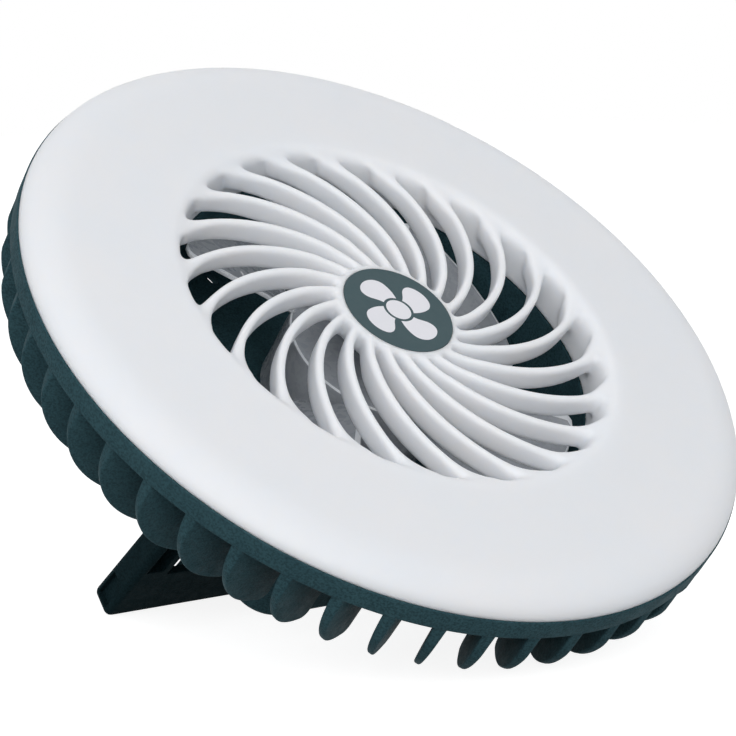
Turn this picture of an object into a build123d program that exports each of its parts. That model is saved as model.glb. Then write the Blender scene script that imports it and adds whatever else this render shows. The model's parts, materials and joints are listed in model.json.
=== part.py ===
from build123d import *
import os
from math import cos, hypot, pi, radians, sin, sqrt

# Portable camping fan with a ring lamp.  Every piece is drawn with the fan lying on its back: the fan axis is Z,
# the face looks along +Z, and the front cover meets the finned rim in the plane z = 0.  place() then tips the
# fan up by TILT about X and sets it on the floor, resting on its lowest fin and on the foot of the stand.

# ---------------------------------------------------------------- driving dimensions (mm, degrees)
RIM_R = 105.4            # finned rim, outer radius
RIM_H = 6.0              # height of the plain band of the rim
BOX_HALF = 45.5          # rear box, half width
BOX_BACK = 62.0          # rear face of the box, behind the parting plane
DRUM_BACK = 36.0         # rear face of the fan drum
DUCT_R = 60.9            # air duct, inner radius
TILT = 39.1              # how far the fan leans back on its stand
LEAN = 11.0              # angle of the open stand to the fan axis

# front cover
COVER_INSET = 0.4        # step from the rim in to the cover
COVER_WALL = 2.2
SHOULDER_RUN = 12.0      # rounded shoulder of the cover, across and up
SHOULDER_RISE = 6.0
FACE_RISE = 0.6          # rise of the face from the shoulder in to the lip
LIP_R = 3.2
LIP_INSIDE = (1.5, 1.2)  # inside of the lip: how far it steps outward and down
THROAT_FLARE = 1.3       # the throat is this much wider at the lip than at its end
THROAT_WALL = 1.8
LIP_SPREAD = 0.4         # extra wall where the throat meets the lip
THROAT_DEPTH = 5.8
SKIRT_WALL = 2.0
SKIRT_DEPTH = 3.4
SKIRT_CLEAR = 0.2
SKIRT_TOP = 1.6          # the skirt meets the inside of the shoulder at this height
SHOULDER_INSIDE = (3.2, 0.9)

# guard ribs and hub
RIB_COUNT = 22
RIB_THICK = 2.38         # at the hub
RIB_THINNING = 0.33      # lost on the way to the throat
RIB_FLARE = 4.27         # added where a rib runs into the throat
RIB_FLARE_START = 0.8    # share of the rib's length where the flare starts
RIB_INNER_R = 15.75      # ends of the rib's centre line
RIB_OUTER_R = 63.0
RIB_SWEEP = (-0.0693, 1.1423, -0.5303, 0.2567)   # centre line angle, radians, as powers of the length share
RIB_TOP = (4.77, -0.24, -2.76)                   # crest height: at the hub, slope, bow
RIB_BOTTOM = (-1.59, 0.35, 0.77)
RIB_STEPS = 8
HUB_R = 18.1
HUB_TOP = 4.8
HUB_BOTTOM = -2.0
BADGE_R = 16.0
BADGE_THICK = 1.8
BADGE_CLEAR = 0.15
SYMBOL_THICK = 0.3
SYMBOL_HUB_R = 3.7
SYMBOL_GAP = 0.8
PETAL_ANGLE = 20.0
PETAL_COUNT = 4
PETAL = (                # radius and angle of points round one petal
    (4.0, 26.0), (7.0, 28.0), (9.2, 30.0), (11.2, 25.0), (12.3, 12.0), (12.4, 0.0),
    (11.9, -12.0), (10.7, -22.0), (8.6, -30.0), (6.4, -37.0), (4.0, -45.0),
)

# rim, deck and fins
BAND_WALL = 2.4
DECK_THICK = 2.0
DECK_CLEAR = 0.3
FIN_COUNT = 49
FIN_PHASE = 238.2        # where one fin meets the rim
FIN_SWIRL = 29.0         # fin plane against the radius
FIN_REACH = 22.1         # from the rim inward
FIN_DROP = 23.7
FIN_SHOULDER = 1.6       # straight part of the fin edge under the rim
FIN_ROOT = 3.2           # thickness at the deck and at the tip
FIN_TIP = 1.3
FIN_TIP_ROUND = 2.5
FIN_OVERRUN = 2.0        # a fin is drawn past the rim and then cut back to it
DECK_BITE = 0.5          # how far the screw bosses reach into the deck

# drum, box and rear cover
WALL = 2.0
FLANGE_EDGE = 1.0        # flange beyond its screw heads
FLANGE_THICK = 2.0
FLOOR_THICK = 2.0
BOX_WALL = 2.2
BOX_CORNER = 10.0
SLOT_COUNT = 28
SLOT_PHASE = 1.3
SLOT_WIDE = 2.6
SLOT_OUTER_GAP = 1.9     # slot end to duct wall
SLOT_LONG = 11.8
SLOT_SHORT = 5.0
SLOT_ROOM = 1.6          # slot to box wall
SLOT_LEAST = 3.4         # a shorter slot is left out
REAR_THICK = 2.4
REAR_ROUND = 2.0
REAR_LIP = 1.5
REAR_LIP_WALL = 1.5
REAR_CLEAR = 0.2
FOOT_PAD_R = 5.0
FOOT_PAD_THICK = 1.2
FOOT_PAD_INSET = 15.0
REAR_SEAT = 1.4          # screw heads' seat below the outside of the rear cover

# screws: shank radius, head radius, head height
SCREW = (1.5, 2.7, 1.8)
SMALL_SCREW = (1.0, 1.9, 1.2)
SCREW_CLEAR = 0.2
PILOT_CLEAR = 0.05
SCREW_END = 1.0          # room left below a screw's tip
HEAD_ROUND = 0.45        # share of the head's height
CROSS_REACH = 0.6        # cross recess: share of the head's radius, width, share of the head's height
CROSS_WIDE = 0.5
CROSS_DEPTH = 0.5
BOSS_WALL = 2.0
FLANGE_SCREWS = 6
FLANGE_BOSS_H = 6.0
BOSS_CLEAR = 0.3
BOSS_PHASE = 30.0
REAR_SCREW_LENGTH = 9.0
REAR_BOSS_GAP = 1.0      # rear cover's bosses to the box wall
BRACKET_BOSS_H = 4.0
POST_WALL = 1.5          # posts of the control board
POST_HOLE_END = 2.0

# lamp
PAD_THICK = 0.4
BOARD_THICK = 1.2
BOARD_GAP = 1.0          # lamp board to the bosses, and to the skirt
CHIP = (3.5, 2.8, 0.7)
CHIP_COUNT = 30
CHIP_ROW_SHARE = (0.25, 0.75)
REFLECTOR_THICK = 0.4
REFLECTOR_RISE = 3.0
REFLECTOR_CLEAR = 0.8    # round each chip
SEAL_THICK = 0.6
SEAL_INSET = 0.1

# rotor
BLADE_COUNT = 4
TIP_GAP = 1.9
ROTOR_FRONT = 10.0
ROTOR_HUB_R = 25.5
ROTOR_HUB_H = 21.5
ROTOR_WALL = 1.8
ROTOR_HUB_ROUND = 1.2
ROTOR_STEP_R = 19.5      # raised middle of the hub's face
ROTOR_STEP = 0.8
ROTOR_BOSS_R = 4.0
ROTOR_BOSS_END = 3.0     # boss shorter than the hub cup
BLADE_FRONT = (10.0, 5.5)    # depth of the front edge, at the hub and at the tip
BLADE_BACK = (22.5, 23.0)    # depth of the rear edge
BLADE_ANGLE = (49.0, 51.0)   # angle of the front edge
BLADE_PITCH = 118.0      # depth that a blade would gain in a full turn
BLADE_THICK = 1.3
BLADE_SINK = 1.0         # blade root inside the hub wall
BLADE_ROWS = 12
BLADE_STEPS = 8

# motor
SHAFT_R = 1.5
SHAFT_FIT = 0.03         # running clearance in the bearings, radial
MOTOR_R = 13.5
MOTOR_LENGTH = 19.0
MOTOR_WALL = 1.0
MOTOR_FACE = 3.0         # front wall of the can
MOTOR_SCREW_BITE = 2.0
MOTOR_SCREW_COUNT = 2
MAGNET_THICK = 2.0
MAGNET_ENDS = (1.5, 0.5) # room behind and in front
MAGNET_SPLIT = 4.0
ARMATURE_ENDS = (0.8, 1.2)
ARMATURE_SLOTS = 9
ARMATURE_SLOT = (3.5, 1.8)
AIR_GAP = 0.5
BUSH_R = 3.0
BUSH_LENGTH = 3.0
NOSE_WALL = 1.0
NOSE_CLEAR = 0.2
BRACKET_R = 22.0
BRACKET_THICK = 2.0
BRACKET_SCREW_R = 18.2
BRACKET_SCREW_COUNT = 4
BRACKET_PHASE = 45.0
MOTOR_SCREW_R = 8.5
CAN_CLEAR = 0.5
CLIP_R = 3.4
CLIP_THICK = 1.3
SHAFT_PROUD = 0.6        # shaft end beyond the clip
SHAFT_END = 0.4          # shaft end to the end cap
SHAFT_CHAMFER = 0.3

# batteries
CELL_R = 9.25
CELL_LENGTH = 65.0
CELL_CLEAR = 0.3
CELL_ROUND = 0.8
CRADLE_TOP = 2.0         # edge of a cradle below the middle of its cell
TRAY_WALL = 1.5
STRIP = (9.0, 0.3, 9.0)

# control board, socket, switches and buttons
PCB_THICK = 1.6
PCB_DEPTH = 50.6         # upper face of the board
PCB_HALF = 18.4
PCB_MOTOR_GAP = 2.5
PCB_SCREW_INSET = 4.0
PCB_SCREW_LENGTH = 4.5
COIL = (7.2, 7.2, 3.6)
COIL_AT = (0.0, 5.0)     # middle of each part: across the board, and back from its front edge
CONTROLLER = (5.0, 4.0, 1.3)
CONTROLLER_AT = (8.9, 11.6)
CAPACITOR = (2.0, 5.0)
CAPACITOR_AT = (3.0, 13.0)
SOCKET = (9.0, 7.3, 3.2)
SOCKET_WALL = 0.5
SOCKET_CLEAR = 0.3
SOCKET_INSET = 0.6
SOCKET_BACK = 1.5
SOCKET_ROUND = 1.2
TONGUE = (6.0, 0.7)
TONGUE_INSET = 0.8
SWITCH = (6.0, 4.5, 4.4)
SWITCH_WELL = (1.9, 1.8)
SWITCH_GAP = 1.2         # pressed button's flange to the switch
BUTTON_X = 12.5
BUTTON_R = 4.0
BUTTON_PROUD = 1.2
BUTTON_TRAVEL = 0.8
BUTTON_CLEAR = 0.3
BUTTON_FLANGE_R = 4.8
BUTTON_FLANGE = 1.1
BUTTON_ROUND = 0.6
BUTTON_BITE = 0.5
FLANGE_GAP = 0.2         # button's flange to the box wall
BUTTON_STEM_R = 1.5
STEM_GAP = 0.15
PIPE_R = 1.5
PIPE_DEPTH = 42.5
PIPE_PROUD = 0.3
PIPE_GAP = 2.0           # light pipe behind the switches, and over the board
PIPE_LIFT = 1.0

# stand
STAND_THICK = 9.0
STAND_ARM = 9.9
STAND_GAP = 1.1          # box wall to arm
STAND_PLATE = 22.0       # height of the cross plate
STAND_SKIN = 2.2
STAND_ROUND = 2.0
STAND_CORNER = 3.0
STAND_EYE = 9.0          # solid length of an arm at its hinge
HINGE_INSET = 30.0       # hinge axis behind the front wall of the box
HINGE_ROOM = 1.0         # arm end to drum
GRIP = (11.0, 5.2, 1.6)  # finger grip in the side of the foot: length, width, depth
GRIP_LIFT = 3.0
RIB_PLATE_COUNT = 3
RIB_PLATE_THICK = 1.6
LAND_DEPTH = 0.3         # cut off the rounded foot corner where it stands on the floor
PIN_R = 2.0
PIN_FIT = 0.05
PIN_HEAD = (3.2, 1.2)
PIN_BOSS = 3.5
PIN_REACH = 7.0          # pin length inside an arm
PIN_END = 0.3
WASHER_R = 4.2
WASHER_CLEAR = 0.05

# ---------------------------------------------------------------- worked out from the values above
COVER_R = RIM_R - COVER_INSET
FACE_TOP = SHOULDER_RISE + FACE_RISE
LIP_TOP_R = DUCT_R + THROAT_FLARE
DRUM_R = DUCT_R + WALL
DECK_HOLE_R = DRUM_R + DECK_CLEAR
DECK_TOP = DECK_THICK - RIM_H
THROAT_OUT_R = LIP_TOP_R + THROAT_WALL + LIP_SPREAD
BOSS_R = SCREW[0] + BOSS_WALL
FLANGE_SCREW_RING = THROAT_OUT_R + BOSS_CLEAR + BOSS_R
FLANGE_R = FLANGE_SCREW_RING + SCREW[1] + FLANGE_EDGE
SKIRT_R = RIM_R - BAND_WALL - SKIRT_CLEAR
FLOOR_TOP = FLOOR_THICK - DRUM_BACK
BOX_IN = BOX_HALF - BOX_WALL
REAR_TOP = REAR_THICK - BOX_BACK
REAR_SCREW_SEAT = REAR_SEAT - BOX_BACK
REAR_SCREW_AT = BOX_IN - BOSS_R - REAR_BOSS_GAP
BOARD_IN_R = FLANGE_SCREW_RING + BOSS_R + BOARD_GAP
BOARD_OUT_R = SKIRT_R - SKIRT_WALL - BOARD_GAP
BOARD_TOP = DECK_TOP + PAD_THICK + BOARD_THICK
ROTOR_R = DUCT_R - TIP_GAP
HINGE_Y = HINGE_INSET - BOX_HALF
HINGE_Z = -(DRUM_BACK + HINGE_ROOM + STAND_THICK / 2)
ARM_IN = BOX_HALF + STAND_GAP
ARM_OUT = ARM_IN + STAND_ARM
CELL_X = BOX_IN - PIN_BOSS - PIN_HEAD[1] - CELL_CLEAR - CELL_R
CELL_Z = -(DRUM_BACK + CELL_CLEAR + CELL_R)
BRACKET_TOP = FLOOR_TOP + BRACKET_THICK
MOTOR_BACK = FLOOR_TOP - MOTOR_LENGTH
BUTTON_Z = SWITCH[2] / 2 - PCB_DEPTH
FLANGE_FACE_Y = BOX_IN - FLANGE_GAP
SWITCH_FACE_Y = FLANGE_FACE_Y - BUTTON_FLANGE - BUTTON_TRAVEL - SWITCH_GAP
PCB_FRONT_Y = MOTOR_R + PCB_MOTOR_GAP
PCB_EDGE_Y = FLANGE_FACE_Y - BUTTON_FLANGE - BUTTON_TRAVEL - BUTTON_CLEAR
PCB_SCREW_Y = PCB_FRONT_Y + PCB_SCREW_INSET
PCB_SCREW_X = PCB_HALF - PCB_SCREW_INSET
REAR_BUSH_Z = MOTOR_BACK + MOTOR_WALL
MAGNET_R = MOTOR_R - MOTOR_WALL
ARMATURE_R = MAGNET_R - MAGNET_THICK - AIR_GAP


# ---------------------------------------------------------------- small helpers
def disc(radius, low, high, x=0.0, y=0.0):
    """A round plate or rod along Z, from low to high."""
    return Pos(x, y, (low + high) / 2) * Cylinder(radius, high - low)


def ring(outer, inner, low, high):
    """A flat ring about Z."""
    return disc(outer, low, high) - disc(inner, low - 1, high + 1)


def block(x, y, z):
    """A box between two corners, given as three (low, high) pairs."""
    middle = [(pair[0] + pair[1]) / 2 for pair in (x, y, z)]
    return Pos(*middle) * Box(x[1] - x[0], y[1] - y[0], z[1] - z[0])


def rod_x(radius, x0, x1, y, z):
    """A rod along X."""
    return Pos((x0 + x1) / 2, y, z) * Rot(0, 90, 0) * Cylinder(radius, abs(x1 - x0))


def rod_y(radius, y0, y1, x, z):
    """A rod along Y."""
    return Pos(x, (y0 + y1) / 2, z) * Rot(90, 0, 0) * Cylinder(radius, abs(y1 - y0))


def spin(shape, count, phase=0.0):
    """Copies of a shape, evenly spaced about the fan axis."""
    return [Rot(0, 0, phase + 360.0 * k / count) * shape for k in range(count)]


def polar(radius, angle):
    """A point at a radius and an angle in degrees."""
    return radius * cos(radians(angle)), radius * sin(radians(angle))


def corners(half):
    """The four corners of a square about the axis."""
    return [(half * a, half * b) for a in (-1, 1) for b in (-1, 1)]


def screw(sizes, length, x, y, seat, up=True):
    """A pan-head screw whose head stands on the plane z = seat and whose shank runs up or down from it."""
    shank_r, head_r, head_h = sizes
    sign = 1 if up else -1
    shank = disc(shank_r, min(seat, seat + sign * length), max(seat, seat + sign * length), x, y)
    head = disc(head_r, min(seat, seat - sign * head_h), max(seat, seat - sign * head_h), x, y)
    face = head.faces().sort_by(Axis.Z)[0 if up else -1]
    head = fillet(face.edges(), head_h * HEAD_ROUND)
    depth = head_h * CROSS_DEPTH
    low = seat - head_h if up else seat + head_h - depth
    reach = head_r * CROSS_REACH
    half = CROSS_WIDE / 2
    bar = block((x - reach, x + reach), (y - half, y + half), (low, low + depth))
    cross = block((x - half, x + half), (y - reach, y + reach), (low, low + depth))
    return shank + head - bar - cross


def rounded_square(half, corner, low, high):
    """A square plate about the axis with round corners."""
    return Pos(0, 0, low) * extrude(RectangleRounded(2 * half, 2 * half, corner), high - low)


def revolve_profile(face):
    """Turn a section drawn in the XZ plane about the fan axis."""
    return revolve(face, Axis.Z)


# ---------------------------------------------------------------- front cover with its guard
def rib_share(radius):
    """How far along a rib a radius lies, 0 at the hub end and 1 at the outer end."""
    return (radius - RIB_INNER_R) / (RIB_OUTER_R - RIB_INNER_R)


def rib_height(values, radius):
    """Height of the rib's crest or underside at a radius."""
    s = rib_share(radius)
    return values[0] + values[1] * s + values[2] * s * (s - 1)


def rib_edge(radius, side):
    """A point on one edge of a rib: the centre line at this radius, moved half a thickness sideways."""
    s = rib_share(radius)
    angle = sum(value * s ** power for power, value in enumerate(RIB_SWEEP))
    slope = sum(power * value * s ** (power - 1) for power, value in enumerate(RIB_SWEEP) if power)
    turn = radius * slope / (RIB_OUTER_R - RIB_INNER_R)
    flare = RIB_FLARE * max(0.0, (s - RIB_FLARE_START) / (1 - RIB_FLARE_START)) ** 2
    half = side * (RIB_THICK - RIB_THINNING * s + flare) / 2
    length = hypot(1, turn)
    along = -turn * half / length
    across = half / length
    return ((radius + along) * cos(angle) - across * sin(angle), (radius + along) * sin(angle) + across * cos(angle))


def guard_window():
    """The opening between two ribs, as a plan outline pulled through the guard."""
    reach = [HUB_R + (RIB_OUTER_R - HUB_R) * k / RIB_STEPS for k in range(RIB_STEPS + 1)]
    near = [rib_edge(r, 1) for r in reach]
    far = [rib_edge(r, -1) for r in reach]
    step = 2 * pi / RIB_COUNT
    far = [(x * cos(step) - y * sin(step), x * sin(step) + y * cos(step)) for x, y in far]
    outline = Face(Wire([Spline(near), Line(near[-1], far[-1]), Spline(far[::-1]), Line(far[0], near[0])]))
    below = HUB_BOTTOM - RIB_THICK
    above = HUB_TOP + RIB_THICK
    opening = Pos(0, 0, below) * extrude(outline, above - below, dir=(0, 0, 1))
    return opening & ring(DUCT_R, HUB_R, below, above)


def guard():
    """Hub and ribs: a dished disc with the windows cut out of it."""
    outer = DUCT_R + THROAT_WALL / 2
    reach = [HUB_R + (outer - HUB_R) * k / RIB_STEPS for k in range(RIB_STEPS + 1)]
    crest = [(r, rib_height(RIB_TOP, r)) for r in reach]
    under = [(r, rib_height(RIB_BOTTOM, r)) for r in reach]
    shape = [Line((0, HUB_BOTTOM), (HUB_R, HUB_BOTTOM)), Line((HUB_R, HUB_BOTTOM), under[0]), Spline(under),
             Line(under[-1], crest[-1]), Spline(crest[::-1]), Line(crest[0], (HUB_R, HUB_TOP)),
             Line((HUB_R, HUB_TOP), (0, HUB_TOP)), Line((0, HUB_TOP), (0, HUB_BOTTOM))]
    plate = revolve_profile(Plane.XZ * Face(Wire(shape)))
    return plate - spin(guard_window(), RIB_COUNT)


def front_cover():
    """Opal cover: face ring with its shoulder, throat and skirt, in one piece with the guard."""
    w = COVER_WALL
    shoulder_r = COVER_R - SHOULDER_RUN
    lip_r = LIP_TOP_R + LIP_R
    lip_z = FACE_TOP - LIP_R
    throat = (DUCT_R, -THROAT_DEPTH)
    back = (DUCT_R + THROAT_WALL, -THROAT_DEPTH)
    inner_lip = (THROAT_OUT_R, FACE_TOP - w - LIP_INSIDE[1])
    inner_face = (lip_r + LIP_INSIDE[0], FACE_TOP - w)
    skirt_in = SKIRT_R - SKIRT_WALL
    k = sqrt(0.5)
    shoulder_mid = (shoulder_r + SHOULDER_RUN * k, SHOULDER_RISE * k)
    lip_mid = (lip_r - LIP_R * k, lip_z + LIP_R * k)
    under_mid = (skirt_in - SHOULDER_INSIDE[0], SHOULDER_RISE - w - SHOULDER_INSIDE[1])
    shape = [
        Spline((COVER_R, 0), shoulder_mid, (shoulder_r, SHOULDER_RISE), tangents=((0, 1), (-1, 0.02))),
        Line((shoulder_r, SHOULDER_RISE), (lip_r, FACE_TOP)),
        ThreePointArc((lip_r, FACE_TOP), lip_mid, (LIP_TOP_R, lip_z)),
        Line((LIP_TOP_R, lip_z), throat),
        Line(throat, back),
        Line(back, inner_lip),
        Line(inner_lip, inner_face),
        Line(inner_face, (shoulder_r, SHOULDER_RISE - w)),
        Spline((shoulder_r, SHOULDER_RISE - w), under_mid, (skirt_in, SKIRT_TOP)),
        Line((skirt_in, SKIRT_TOP), (skirt_in, -SKIRT_DEPTH)),
        Line((skirt_in, -SKIRT_DEPTH), (SKIRT_R, -SKIRT_DEPTH)),
        Line((SKIRT_R, -SKIRT_DEPTH), (SKIRT_R, 0)),
        Line((SKIRT_R, 0), (COVER_R, 0)),
    ]
    shell = revolve_profile(Plane.XZ * Face(Wire(shape)))
    seat = disc(BADGE_R + BADGE_CLEAR, HUB_TOP - BADGE_THICK, HUB_TOP + 1)
    return shell + guard() - seat


def hub_badge():
    """Dark disc let into the hub, with a shallow bed for the inlaid symbol."""
    return disc(BADGE_R, HUB_TOP - BADGE_THICK, HUB_TOP) - symbol_pieces(BADGE_THICK)


def symbol_pieces(height):
    """The plain fan symbol: four petals round a small hub, starting at the bed of the badge."""
    low = HUB_TOP - SYMBOL_THICK
    outline = [polar(radius, angle) for radius, angle in PETAL]
    leaf = Face(Wire([Spline(*outline), Line(outline[-1], outline[0])]))
    petal = Pos(0, 0, low) * extrude(leaf, height, dir=(0, 0, 1))
    petal -= disc(SYMBOL_HUB_R + SYMBOL_GAP, low - 1, low + height + 1)
    return [disc(SYMBOL_HUB_R, low, low + height)] + spin(petal, PETAL_COUNT, PETAL_ANGLE)


def badge_symbol():
    """The symbol's five light pieces, level with the badge."""
    return Compound(symbol_pieces(SYMBOL_THICK))


# ---------------------------------------------------------------- lamp ring
def chip_places():
    """Angle and radius of every lamp chip, in two rows."""
    rows = [BOARD_IN_R + (BOARD_OUT_R - BOARD_IN_R) * share for share in CHIP_ROW_SHARE]
    step = 360.0 / CHIP_COUNT
    return [(row, step * (k + 0.5 * n)) for n, row in enumerate(rows) for k in range(CHIP_COUNT)]


def thermal_pad():
    """Soft pad between the lamp board and the deck."""
    return ring(BOARD_OUT_R, BOARD_IN_R, DECK_TOP, DECK_TOP + PAD_THICK)


def led_board():
    """Ring-shaped board under the lamp chips."""
    return ring(BOARD_OUT_R, BOARD_IN_R, DECK_TOP + PAD_THICK, BOARD_TOP)


def led_chips():
    """All lamp chips, standing on the board."""
    chip = Box(*CHIP)
    low = BOARD_TOP + CHIP[2] / 2
    return Compound([Rot(0, 0, a) * Pos(r, 0, low) * chip for r, a in chip_places()])


def light_reflector():
    """White tray over the board, with a hole for every chip and a low wall at each edge."""
    top = BOARD_TOP + REFLECTOR_THICK
    tray = ring(BOARD_OUT_R, BOARD_IN_R, BOARD_TOP, top)
    tray += ring(BOARD_OUT_R, BOARD_OUT_R - REFLECTOR_THICK, top, top + REFLECTOR_RISE)
    tray += ring(BOARD_IN_R + REFLECTOR_THICK, BOARD_IN_R, top, top + REFLECTOR_RISE)
    holes = [disc(CHIP[0] / 2 + REFLECTOR_CLEAR, BOARD_TOP - 1, top + 1, *polar(r, a)) for r, a in chip_places()]
    return tray - holes


def cover_seal():
    """Seal under the cover's skirt."""
    outer = SKIRT_R - SEAL_INSET
    return ring(outer, SKIRT_R - SKIRT_WALL + SEAL_INSET, -SKIRT_DEPTH - SEAL_THICK, -SKIRT_DEPTH)


# ---------------------------------------------------------------- finned rim
def fin():
    """One fin in the XZ plane: a quarter of an ellipse under the rim, thinner towards its tip."""
    top = -RIM_H
    start = top - FIN_SHOULDER
    low = start - FIN_DROP
    tip = (FIN_REACH, low)
    k = sqrt(0.5)
    mid = (FIN_REACH * (1 - k), start - FIN_DROP * k)
    overlap = DECK_THICK / 2
    over = -FIN_OVERRUN
    outline = [Line((over, top + overlap), (over, start)), Line((over, start), (0, start)),
               Spline((0, start), mid, tip, tangents=((0, -1), (1, 0))),
               Line(tip, (FIN_REACH, top + overlap)), Line((FIN_REACH, top + overlap), (over, top + overlap))]
    blade = extrude(Plane.XZ * Face(Wire(outline)), FIN_ROOT, both=True)
    taper = [(-FIN_ROOT / 2, top + overlap), (-FIN_ROOT / 2, top), (-FIN_TIP / 2, low), (FIN_TIP / 2, low),
             (FIN_ROOT / 2, top), (FIN_ROOT / 2, top + overlap)]
    wedge = extrude(Plane.YZ * make_face(Polyline(*taper, close=True)), 2 * FIN_REACH, both=True)
    piece = blade & wedge
    tip_edge = piece.edges().filter_by(Axis.Y).sort_by(Axis.Z)[0]
    piece = fillet(tip_edge, FIN_TIP_ROUND)
    return Pos(RIM_R, 0, 0) * Rot(0, 0, 180 - FIN_SWIRL) * piece


def finned_rim():
    """Band, deck and fins in one moulding, with the bosses that take the drum's screws."""
    band = ring(RIM_R + FIN_ROOT, RIM_R - BAND_WALL, -RIM_H, 0)
    deck = ring(RIM_R - BAND_WALL / 2, DECK_HOLE_R, -RIM_H, DECK_TOP)
    x, y = polar(FLANGE_SCREW_RING, 0)
    boss = disc(BOSS_R, DECK_TOP - DECK_BITE, DECK_TOP + FLANGE_BOSS_H, x, y)
    hole = disc(SCREW[0] + PILOT_CLEAR, -RIM_H - 1, DECK_TOP + FLANGE_BOSS_H - SCREW_END, x, y)
    body = band + deck + spin(boss, FLANGE_SCREWS, BOSS_PHASE) + spin(fin(), FIN_COUNT, FIN_PHASE)
    body &= disc(RIM_R, -RIM_H - 2 * FIN_DROP, FLANGE_BOSS_H)
    return body - spin(hole, FLANGE_SCREWS, BOSS_PHASE)


# ---------------------------------------------------------------- rear housing
def floor_slots():
    """Air slots in the drum floor, long and short in turn, wherever the box leaves room for them."""
    outer = DUCT_R - SLOT_OUTER_GAP
    slots = []
    for k in range(SLOT_COUNT):
        angle = SLOT_PHASE + 360.0 * k / SLOT_COUNT
        side = max(abs(cos(radians(angle))), abs(sin(radians(angle))))
        inner = max(outer - (SLOT_LONG if k % 2 else SLOT_SHORT), (BOX_HALF + SLOT_ROOM) / side)
        length = outer - inner
        if length < SLOT_LEAST:
            continue
        shape = extrude(SlotOverall(length, SLOT_WIDE), FLOOR_THICK + 2, dir=(0, 0, 1))
        slots.append(Rot(0, 0, angle) * Pos((outer + inner) / 2, 0, -DRUM_BACK - 1) * shape)
    return slots


def rear_housing():
    """Drum, floor and box in one moulding: the drum is the air duct, the box holds batteries and board."""
    flange_low = -RIM_H - FLANGE_THICK
    body = disc(DRUM_R, -DRUM_BACK, flange_low) + disc(FLANGE_R, flange_low, -RIM_H)
    body += rounded_square(BOX_HALF, BOX_CORNER, REAR_TOP, FLOOR_TOP)
    body -= disc(DUCT_R, FLOOR_TOP, 0)
    body -= rounded_square(BOX_IN, BOX_CORNER - BOX_WALL, REAR_TOP - 1, -DRUM_BACK)
    body -= floor_slots()
    body -= disc(MOTOR_R + CAN_CLEAR, -DRUM_BACK - 1, FLOOR_TOP + 1)

    # bosses: bracket screws below the floor, rear cover screws in the corners, hinge pins in the side walls
    boss_low = -DRUM_BACK - BRACKET_BOSS_H
    bracket_boss = disc(SMALL_SCREW[0] + BOSS_WALL, boss_low, -DRUM_BACK, BRACKET_SCREW_R, 0)
    body += spin(bracket_boss, BRACKET_SCREW_COUNT, BRACKET_PHASE)
    for x, y in corners(REAR_SCREW_AT):
        body += disc(BOSS_R, REAR_TOP, -DRUM_BACK, x, y)
    for side in (-1, 1):
        body += rod_x(PIN_R + BOSS_WALL, side * (BOX_IN - PIN_BOSS), side * BOX_IN, HINGE_Y, HINGE_Z)

    # holes for the screws, the pins, the socket, the buttons and the light pipe
    bracket_hole = disc(SMALL_SCREW[0] + PILOT_CLEAR, boss_low - 1, FLOOR_TOP + 1, BRACKET_SCREW_R, 0)
    flange_hole = disc(SCREW[0] + SCREW_CLEAR, flange_low - 1, -RIM_H + 1, FLANGE_SCREW_RING, 0)
    body -= spin(bracket_hole, BRACKET_SCREW_COUNT, BRACKET_PHASE) + spin(flange_hole, FLANGE_SCREWS, BOSS_PHASE)
    for x, y in corners(REAR_SCREW_AT):
        body -= disc(SCREW[0] + PILOT_CLEAR, REAR_TOP - 1, REAR_TOP + REAR_SCREW_LENGTH, x, y)
    for side in (-1, 1):
        body -= rod_x(PIN_R, side * (BOX_IN - PIN_BOSS - 1), side * (BOX_HALF + 1), HINGE_Y, HINGE_Z)
        body -= rod_y(BUTTON_R + BUTTON_CLEAR, BOX_IN - 1, BOX_HALF + 1, side * BUTTON_X, BUTTON_Z)
    body -= rod_y(PIPE_R, BOX_IN - 1, BOX_HALF + 1, 0, -PIPE_DEPTH)
    half = SOCKET[0] / 2 + SOCKET_CLEAR
    body -= block((-half, half), (BOX_IN - 1, BOX_HALF + 1),
                  (-PCB_DEPTH - SOCKET_CLEAR, -PCB_DEPTH + SOCKET[2] + SOCKET_CLEAR))
    return body


def rear_cover():
    """Plate that closes the box, with a locating lip, screw recesses and the posts of the control board."""
    plate = rounded_square(BOX_HALF, BOX_CORNER, -BOX_BACK, REAR_TOP)
    plate = fillet(plate.faces().sort_by(Axis.Z)[0].edges(), REAR_ROUND)
    lip = BOX_IN - REAR_CLEAR
    rim = rounded_square(lip, BOX_CORNER - BOX_WALL - REAR_CLEAR, REAR_TOP, REAR_TOP + REAR_LIP)
    inner_corner = BOX_CORNER - BOX_WALL - REAR_CLEAR - REAR_LIP_WALL
    rim -= rounded_square(lip - REAR_LIP_WALL, inner_corner, REAR_TOP - 1, REAR_TOP + REAR_LIP + 1)
    for x, y in corners(REAR_SCREW_AT):
        rim -= disc(BOSS_R + REAR_CLEAR, REAR_TOP - 1, REAR_TOP + REAR_LIP + 1, x, y)
    plate += rim
    for x in (-PCB_SCREW_X, PCB_SCREW_X):
        plate += disc(SMALL_SCREW[0] + POST_WALL, REAR_TOP, -PCB_DEPTH - PCB_THICK, x, PCB_SCREW_Y)
        plate -= disc(SMALL_SCREW[0] + PILOT_CLEAR, REAR_TOP + POST_HOLE_END, -PCB_DEPTH, x, PCB_SCREW_Y)
    for x, y in corners(REAR_SCREW_AT):
        plate -= disc(SCREW[0] + SCREW_CLEAR, -BOX_BACK - 1, REAR_TOP + 1, x, y)
        plate -= disc(SCREW[1] + SCREW_CLEAR, -BOX_BACK - 1, REAR_SCREW_SEAT, x, y)
    return plate


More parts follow.
